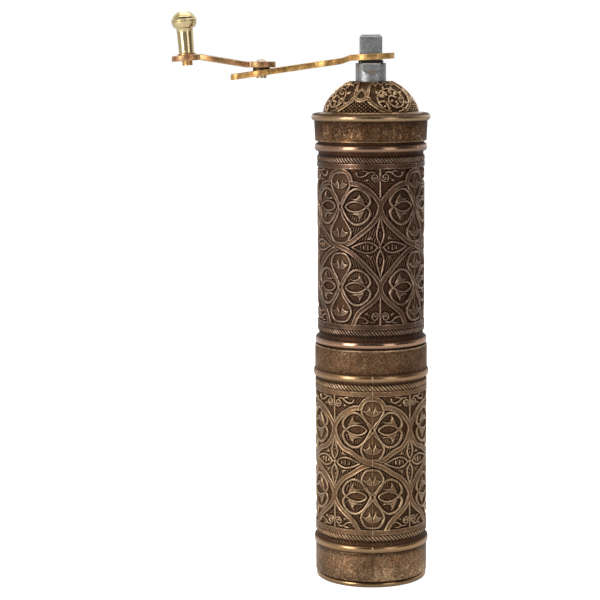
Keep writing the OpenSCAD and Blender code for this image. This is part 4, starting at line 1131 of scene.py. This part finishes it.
class GRINDER_OT_chamber(GrinderOperator, bpy.types.Operator):
    """Builds the bean chamber's wall with its relief, borders and bore"""

    bl_idname = "grinder.chamber"
    bl_label = "Bean chamber"

    def execute(self, context):
        s = sizes()
        brass = finish_of("chamber brass")
        low, high, wall, bore = 106.8, 168.4, 21.65, 18.8
        seat, seat_low, top = 19.3, 163.0, 178.2
        low_bead, top_bead = (96.9, 100.1), (174.6, 177.8)
        sink, bead_wall, stand = 0.5, wall - 0.3, 1.25
        for mesh in ornamented_walls(
            "chamber_relief", wall - RELIEF_SINK, low, high, s.chamber_turn, rows=292, steps=328,
            half_row=16.0, squeeze=0.0,
        ):
            part(mesh.name, mesh, brass, "upper", ["bean_chamber"])
        profile = border_below(wall, low, sink, low_bead[1]) + bead(bead_wall, stand, *low_bead)
        profile += [(bead_wall, SPLIT), (bore, SPLIT), (bore, 130.0), (bore, seat_low), (seat, seat_low)]
        profile += [(seat, top - 0.2), (seat + 0.2, top), (bead_wall, top)]
        profile += bead(bead_wall, stand, *top_bead) + border_above(wall, high, sink, top_bead[0])
        mesh = spun_mesh("chamber_borders", profile, 656, s.chamber_turn)
        finish_borders(
            mesh, s.chamber_turn, s.chamber_strands, (low, high),
            beads=[(*low_bead, 1.0), (*top_bead, 0.7)],
            # The hollows beside the beads are patina with painted shade, and the joints with the cup below
            # and the lid above are painted shade
            bands=[
                (low_bead[1] + TOUCH, low - ROPE_END - TOUCH, HOLLOW_PATINA_AND_SHADE),
                (high + ROPE_END + TOUCH, top_bead[0] - TOUCH, HOLLOW_PATINA_AND_SHADE),
                (SPLIT - 0.1, SPLIT + 0.2, HOLLOW_PATINA_AND_SHADE), (top - 0.25, top + 0.1, HOLLOW_PATINA_AND_SHADE),
            ],
        )
        part("chamber_borders", mesh, brass, "upper", ["bean_chamber"])
        return {"FINISHED"}


class GRINDER_OT_lid(GrinderOperator, bpy.types.Operator):
    """Builds the ornamented dome and the plain band, rim and plug below it"""

    bl_idname = "grinder.lid"
    bl_label = "Lid"

    # Radius and level of the dome's foot and of its top, and the radius of the spindle's hole
    foot, base = 19.25, 190.2
    top, crest = 8.1, 202.2
    hole = 6.4

    def execute(self, context):
        height = self.crest - self.base
        sink = (self.foot**2 - self.top**2 - height**2) / (2 * height)
        ball, centre = math.hypot(self.foot, sink), self.base - sink
        brass = finish_of("lid brass")
        part("lid_dome", self.dome(sizes().dome_turn, ball, centre), brass, "lid", ["lid"])
        part("lid_band", self.band(ball - 2.0, centre), brass, "lid", ["lid"])
        return {"FINISHED"}

    def dome(self, start, ball, centre):
        rows, steps, repeats = 100, 900, 4
        low, high = math.asin(self.foot / ball), math.asin(self.top / ball)
        slopes = [low + (high - low) * i / rows for i in range(rows + 1)]
        profile = [(ball * math.sin(a), centre + ball * math.cos(a)) for a in slopes]
        profile += [(7.8, self.crest + 0.02), (6.75, self.crest), (self.hole, self.crest - 0.3)]
        mesh = spun_mesh("lid_dome", profile, steps, start)
        co, angle, radius = places(mesh)
        run = (low - np.arctan2(radius, co[:, 2] - centre)) * ball
        reach = (low - high) * ball
        x, y = repeat_place(angle, start, repeats), 2 * run / reach - 1
        fit = math.pi / repeats * DOME_GAUGE

        def drawing(across, up):
            return dome_ornament(across * fit, (up + 1) / 2 * reach)

        levels, edges = relief_grid(steps // repeats, rows, drawing)
        on = np.clip(run / 0.5, 0, 1) * np.clip((reach - run) / 0.4, 0, 1)
        level = from_grid(levels, x, y) * on * 0.9
        out = (co - (0.0, 0.0, centre)) / ball
        put(mesh, co + out * level[:, None])
        mark_relief(mesh, level, from_grid(edges, x, y) * on, bare=0.35)
        return mesh

    def band(self, under_dome, centre):
        rim, rim_half, rim_z, low = 23.85, 1.5, 188.1, 178.6
        rim_low, rim_high = rim_z - rim_half, rim_z + rim_half
        plug, plug_wall, plug_end = 19.0, 17.2, 171.0
        profile = [(self.hole, self.crest - 0.3), (self.hole, 200.8)]
        profile += arc(0.0, centre, under_dome, 69.5, 24, 14)
        profile += [(plug_wall, 190.3), (plug_wall, plug_end), (plug - 0.2, plug_end), (plug, plug_end + 0.2)]
        profile += [(plug, low - 0.4), (20.7, low - 0.4), (20.7, low), (22.15, low), (22.4, low + 0.25)]
        profile += stretch(22.41, low + 0.6, 22.68, rim_low - 0.6, 6)
        profile += [(22.7, rim_low - 0.3), (22.6, rim_low)]
        profile += arc(rim - rim_half, rim_z, rim_half, -88, 88, 17)
        profile += [(21.6, rim_high), (20.2, rim_high + 0.02)]
        profile += [(19.6, rim_high + 0.25), (19.15, rim_high + 0.7)]
        mesh = spun_mesh("lid_band", profile, 256, sharp_degrees=38)
        co, _, radius = places(mesh)
        z = co[:, 2]
        # Painted highlight along the middle of the rim, with the rim's upper half painted darker
        bright = np.clip(1 - np.abs(z - rim_z) / rim_half, 0, 1)
        bright = np.where(z > rim_z + 0.4, np.clip((rim_high - 0.25 - z) / 0.85, 0, 1), bright)
        bright = bright * (radius > 19.4) * (z > rim_low + TOUCH)
        on_rim = bright > 0
        fillet = (z > rim_high + TOUCH) & (radius > 19.0) & (radius < 20.5)
        plain_low = low + 0.4
        low_edge = (z > low - 0.1) & (z < plain_low) & (radius > 22)
        # Painted shade under the rim: the band darkens upwards towards it
        under_rim = np.clip((z - plain_low) / (rim_low - plain_low), 0, 1)
        relief = np.where(on_rim, np.clip(0.2 + 1.6 * bright, 0, 1), 0.46 - 0.42 * under_rim**2)
        # Painted highlights on the band's lower edge and on the fillet at the dome's foot
        relief = np.where(low_edge, 0.95, np.where(fillet, 0.75, relief))
        mark(
            mesh, relief=np.where(z < low - 0.1, 0.3, relief), grain=np.where(on_rim, 0.2, 1.2),
            polish=np.where(on_rim, np.clip(2.4 * bright - 0.5, 0, 1), 0.6 * fillet + 0.8 * low_edge),
        )
        return mesh


class GRINDER_OT_foot(GrinderOperator, bpy.types.Operator):
    """Builds the turned foot with its bright lip, a painted highlight"""

    bl_idname = "grinder.foot"
    bl_label = "Foot"

    def execute(self, context):
        _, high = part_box("base_plate")
        r, top = high.x / MM, high.z / MM
        spigot, lip = 20.47, 0.95
        profile = [(0.0, top), (spigot - 0.3, top), (spigot, top - 0.3), (spigot, SEAT)]
        profile += arc(r - lip, SEAT - lip, lip, 90, 0, 8) + arc(r - lip, lip, lip, 0, -90, 8)
        profile += [(20.2, 0.0), (20.0, 0.05), (0.0, 0.05)]
        mesh = spun_mesh("foot_plate", profile, 256, sharp_degrees=35)
        co, _, radius = places(mesh)
        z = co[:, 2]
        # The plate's face at the seat is darkened, painted shade in the joint under the cup, and the rounded
        # lip takes the shine, a painted highlight
        on_plate = (z < SEAT + 0.1) & (radius > 21.5)
        on_lip = on_plate & (z < SEAT - 0.05)
        relief = np.where(on_lip, 0.92, np.where(on_plate, 0.05, 0.45))
        mark(mesh, relief=relief, polish=0.85 * on_lip, grain=0.5)
        part("foot_plate", mesh, finish_of("cup brass"), "cup", ["base_plate"])
        return {"FINISHED"}


class GRINDER_OT_spindle(GrinderOperator, bpy.types.Operator):
    """Rounds the edges of the spindle with its square head"""

    bl_idname = "grinder.spindle"
    bl_label = "Spindle"

    # Levels: a flat's foot, the painted highlight along its top, the seat below the arm with its painted
    # shadow, and the line round the top
    flat_foot = 206.6
    flat_line = 208.9
    seat_low, seat_high = 209.4, 210.5
    top_line = 220.25

    def wear(self, face, rounded):
        """Bright rubbed bevels and edges, a dark line round the top, painted highlights on the flats and on
        the slopes at their feet, and painted shadow of the arm on the seat below it.
        """
        z, up = face.calc_center_median().z / MM, face.normal.z
        # Painted shadow of the arm on the seat below it
        if self.seat_low < z < self.seat_high and not rounded:
            return -1.0
        if z > self.top_line and 0.3 < up < 0.99:
            return -0.75
        # Painted highlight along the top of each front and back flat; rubbed bevels below the top
        on_flat = self.flat_line < z < self.seat_low and abs(face.normal.y) > 0.99
        if on_flat or rounded and z < 219.0:
            return 1.0
        # Painted highlight on the slopes at the flats' feet
        return 0.45 if 204.0 < z < 207.0 and 0.3 < up < 0.9 else 0.0

    def drop(self, z):
        """Lengthens the slope at the foot of each flat."""
        return 0.5 * (self.flat_foot - z) if self.flat_foot - 1.3 < z < self.flat_foot - 0.1 else 0.0

    def execute(self, context):
        cuts = [self.flat_line, self.top_line]
        mesh = bevelled_copy("spindle_bar", "spindle", sizes().steel_bevel, 2, self.wear, cuts, self.drop)
        part("spindle_bar", mesh, finish_of("grey zinc"), "spindle", ["spindle"])
        return {"FINISHED"}


class GRINDER_OT_arms(GrinderOperator, bpy.types.Operator):
    """Rounds the edges of the two stamped arms of the crank"""

    bl_idname = "grinder.arms"
    bl_label = "Crank arms"

    def execute(self, context):
        for name, node_name, body, finish in (
            ("inner_arm", "crank_inner_arm", "crank", "yellow plating"),
            ("outer_arm_plate", "crank_outer_arm", "outer_arm", "bloomed plating"),
        ):
            mesh = bevelled_copy(name, node_name, sizes().arm_bevel, 3)
            part(name, mesh, finish_of(finish), body, [node_name])
        return {"FINISHED"}


class GRINDER_OT_knob(GrinderOperator, bpy.types.Operator):
    """Turns the knob with its rings, on its leaning pin"""

    bl_idname = "grinder.knob"
    bl_label = "Knob"

    def execute(self, context):
        ridge, crown, ball, cheek = 13.8, 17.6, 5.256, 5.05
        bore, bore_end, foot, groove = 1.56, 16.05, 0.7, 0.14

        def cap(k):
            return math.sqrt(ball**2 - (k - crown + ball) ** 2)

        profile = [(bore + 0.7, bore_end), (bore, bore_end), (bore, foot), (2.85, foot), (3.08, 0.92)]
        profile += stretch(3.1, 1.2, 3.28, 10.0, 8) + [(3.3, 10.3), (3.45, 10.62), (3.75, 10.84)]
        profile += [(math.sqrt(cheek**2 - (k - ridge) ** 2), k) for k in np.linspace(10.95, 13.3, 8)]
        profile += [(4.84, 13.42), (4.86, 13.5), (5.1, 13.58), (5.17, 13.7), (5.17, 13.92), (5.1, 14.05)]
        profile += [(4.98, 14.12)]
        profile += [(cap(k), k) for k in np.linspace(14.3, 15.3, 5)]
        profile += [(cap(k) - groove, k) for k in (15.4, 15.52)]
        profile += [(cap(k), k) for k in np.linspace(15.62, 16.95, 8)] + [(2.42, 17.06), (2.28, 17.04)]
        mesh = spun_mesh("turned_knob", profile, 96, closed=True)
        spin = next(joint for joint in frame["joints"] if joint["name"] == "knob_spin")
        lean = Matrix.Rotation(math.atan2(spin["axis"][0], spin["axis"][2]), 4, "Y")
        mesh.transform(Matrix.Translation(spin["pos_m"]) @ lean)
        mesh.set_sharp_from_angle(angle=math.radians(40))
        part("turned_knob", mesh, finish_of("turned brass"), "knob", ["knob"])
        return {"FINISHED"}


class GRINDER_OT_spring(GrinderOperator, bpy.types.Operator):
    """Winds the return spring's round wire"""

    bl_idname = "grinder.spring"
    bl_label = "Return spring"

    def execute(self, context):
        low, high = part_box("return_spring")
        wire, coil = 0.6 * MM, 7.4 * MM
        turns, per_turn, sides = 5, 40, 14
        steps = turns * per_turn
        climb = (high.z - low.z - 2 * wire) / steps
        bm = bmesh.new()
        upright = Matrix.Translation((coil, 0.0, low.z + wire)) @ Matrix.Rotation(math.radians(90), 4, "X")
        ring = bmesh.ops.create_circle(bm, segments=sides, radius=wire, matrix=upright)["verts"]
        edges = list({e for v in ring for e in v.link_edges})
        bmesh.ops.spin(
            bm, geom=ring + edges, cent=(0, 0, 0), axis=(0, 0, 1), dvec=(0, 0, climb),
            angle=2 * math.pi * turns, steps=steps, use_merge=False,
        )
        bmesh.ops.holes_fill(bm, edges=[e for e in bm.edges if e.is_boundary], sides=0)
        bmesh.ops.recalc_face_normals(bm, faces=bm.faces)
        mesh = smooth_mesh(bm, "spring_coil", 40)
        steel = finish_of("inner steel")
        coil_piece = part("spring_coil", mesh, steel, "upper", ["return_spring"])
        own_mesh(coil_piece)
        return {"FINISHED"}


class GRINDER_OT_inside(GrinderOperator, bpy.types.Operator):
    """Gives the carried-over pieces their finishes"""

    bl_idname = "grinder.inside"
    bl_label = "Inner pieces"

    finishes = {
        "inner steel": (
            "neck_sleeve", "burr_screws", "lower_bridge", "bridge_screws", "top_bridge", "spring_washer",
            "drive_pin", "thrust_ball",
        ),
        "burr iron": ("outer_burr", "inner_burr", "retaining_clip"),
        "turned brass": ("bridge_bush", "adjusting_screw"),
        "rivet steel": ("fold_rivet",),
        # The washer's dark brown partly paints the shade between the crank's arms
        "browned iron": ("rivet_washer",),
        "yellow plating": ("knob_pin", "knob_washer"),
    }

    def execute(self, context):
        for finish, names in self.finishes.items():
            for name in names:
                mesh = NODES[name].data
                mesh.materials.clear()
                mesh.materials.append(finish_of(finish))
        return {"FINISHED"}


class GRINDER_PT_panel(bpy.types.Panel):
    """Lists the grinder's pieces in the sidebar"""

    bl_idname = "GRINDER_PT_panel"
    bl_label = "Coffee grinder"
    bl_space_type = "VIEW_3D"
    bl_region_type = "UI"
    bl_category = "Grinder"

    def draw(self, context):
        for operator in OPERATORS:
            self.layout.operator(operator.bl_idname)


OPERATORS = (
    GRINDER_OT_stage,
    GRINDER_OT_finishes,
    GRINDER_OT_cup,
    GRINDER_OT_chamber,
    GRINDER_OT_lid,
    GRINDER_OT_foot,
    GRINDER_OT_spindle,
    GRINDER_OT_arms,
    GRINDER_OT_knob,
    GRINDER_OT_spring,
    GRINDER_OT_inside,
)
GROUPS = (
    ("grinder_sizes", GrinderSizes),
    ("grinder_colours", GrinderColours),
    ("grinder_stage", GrinderStage),
)


def register():
    for name, group in GROUPS:
        bpy.utils.register_class(group)
        setattr(bpy.types.Scene, name, PointerProperty(type=group))
    for operator in OPERATORS:
        bpy.utils.register_class(operator)
    bpy.utils.register_class(GRINDER_PT_panel)


def unregister():
    bpy.utils.unregister_class(GRINDER_PT_panel)
    for operator in reversed(OPERATORS):
        bpy.utils.unregister_class(operator)
    for name, group in reversed(GROUPS):
        delattr(bpy.types.Scene, name)
        bpy.utils.unregister_class(group)


def main():
    register()
    bpy.ops.grinder.stage()
    bpy.ops.grinder.finishes()
    bpy.ops.grinder.cup()
    bpy.ops.grinder.chamber()
    bpy.ops.grinder.lid()
    bpy.ops.grinder.foot()
    bpy.ops.grinder.spindle()
    bpy.ops.grinder.arms()
    bpy.ops.grinder.knob()
    bpy.ops.grinder.spring()
    bpy.ops.grinder.inside()


if __name__ == "__main__":
    main()
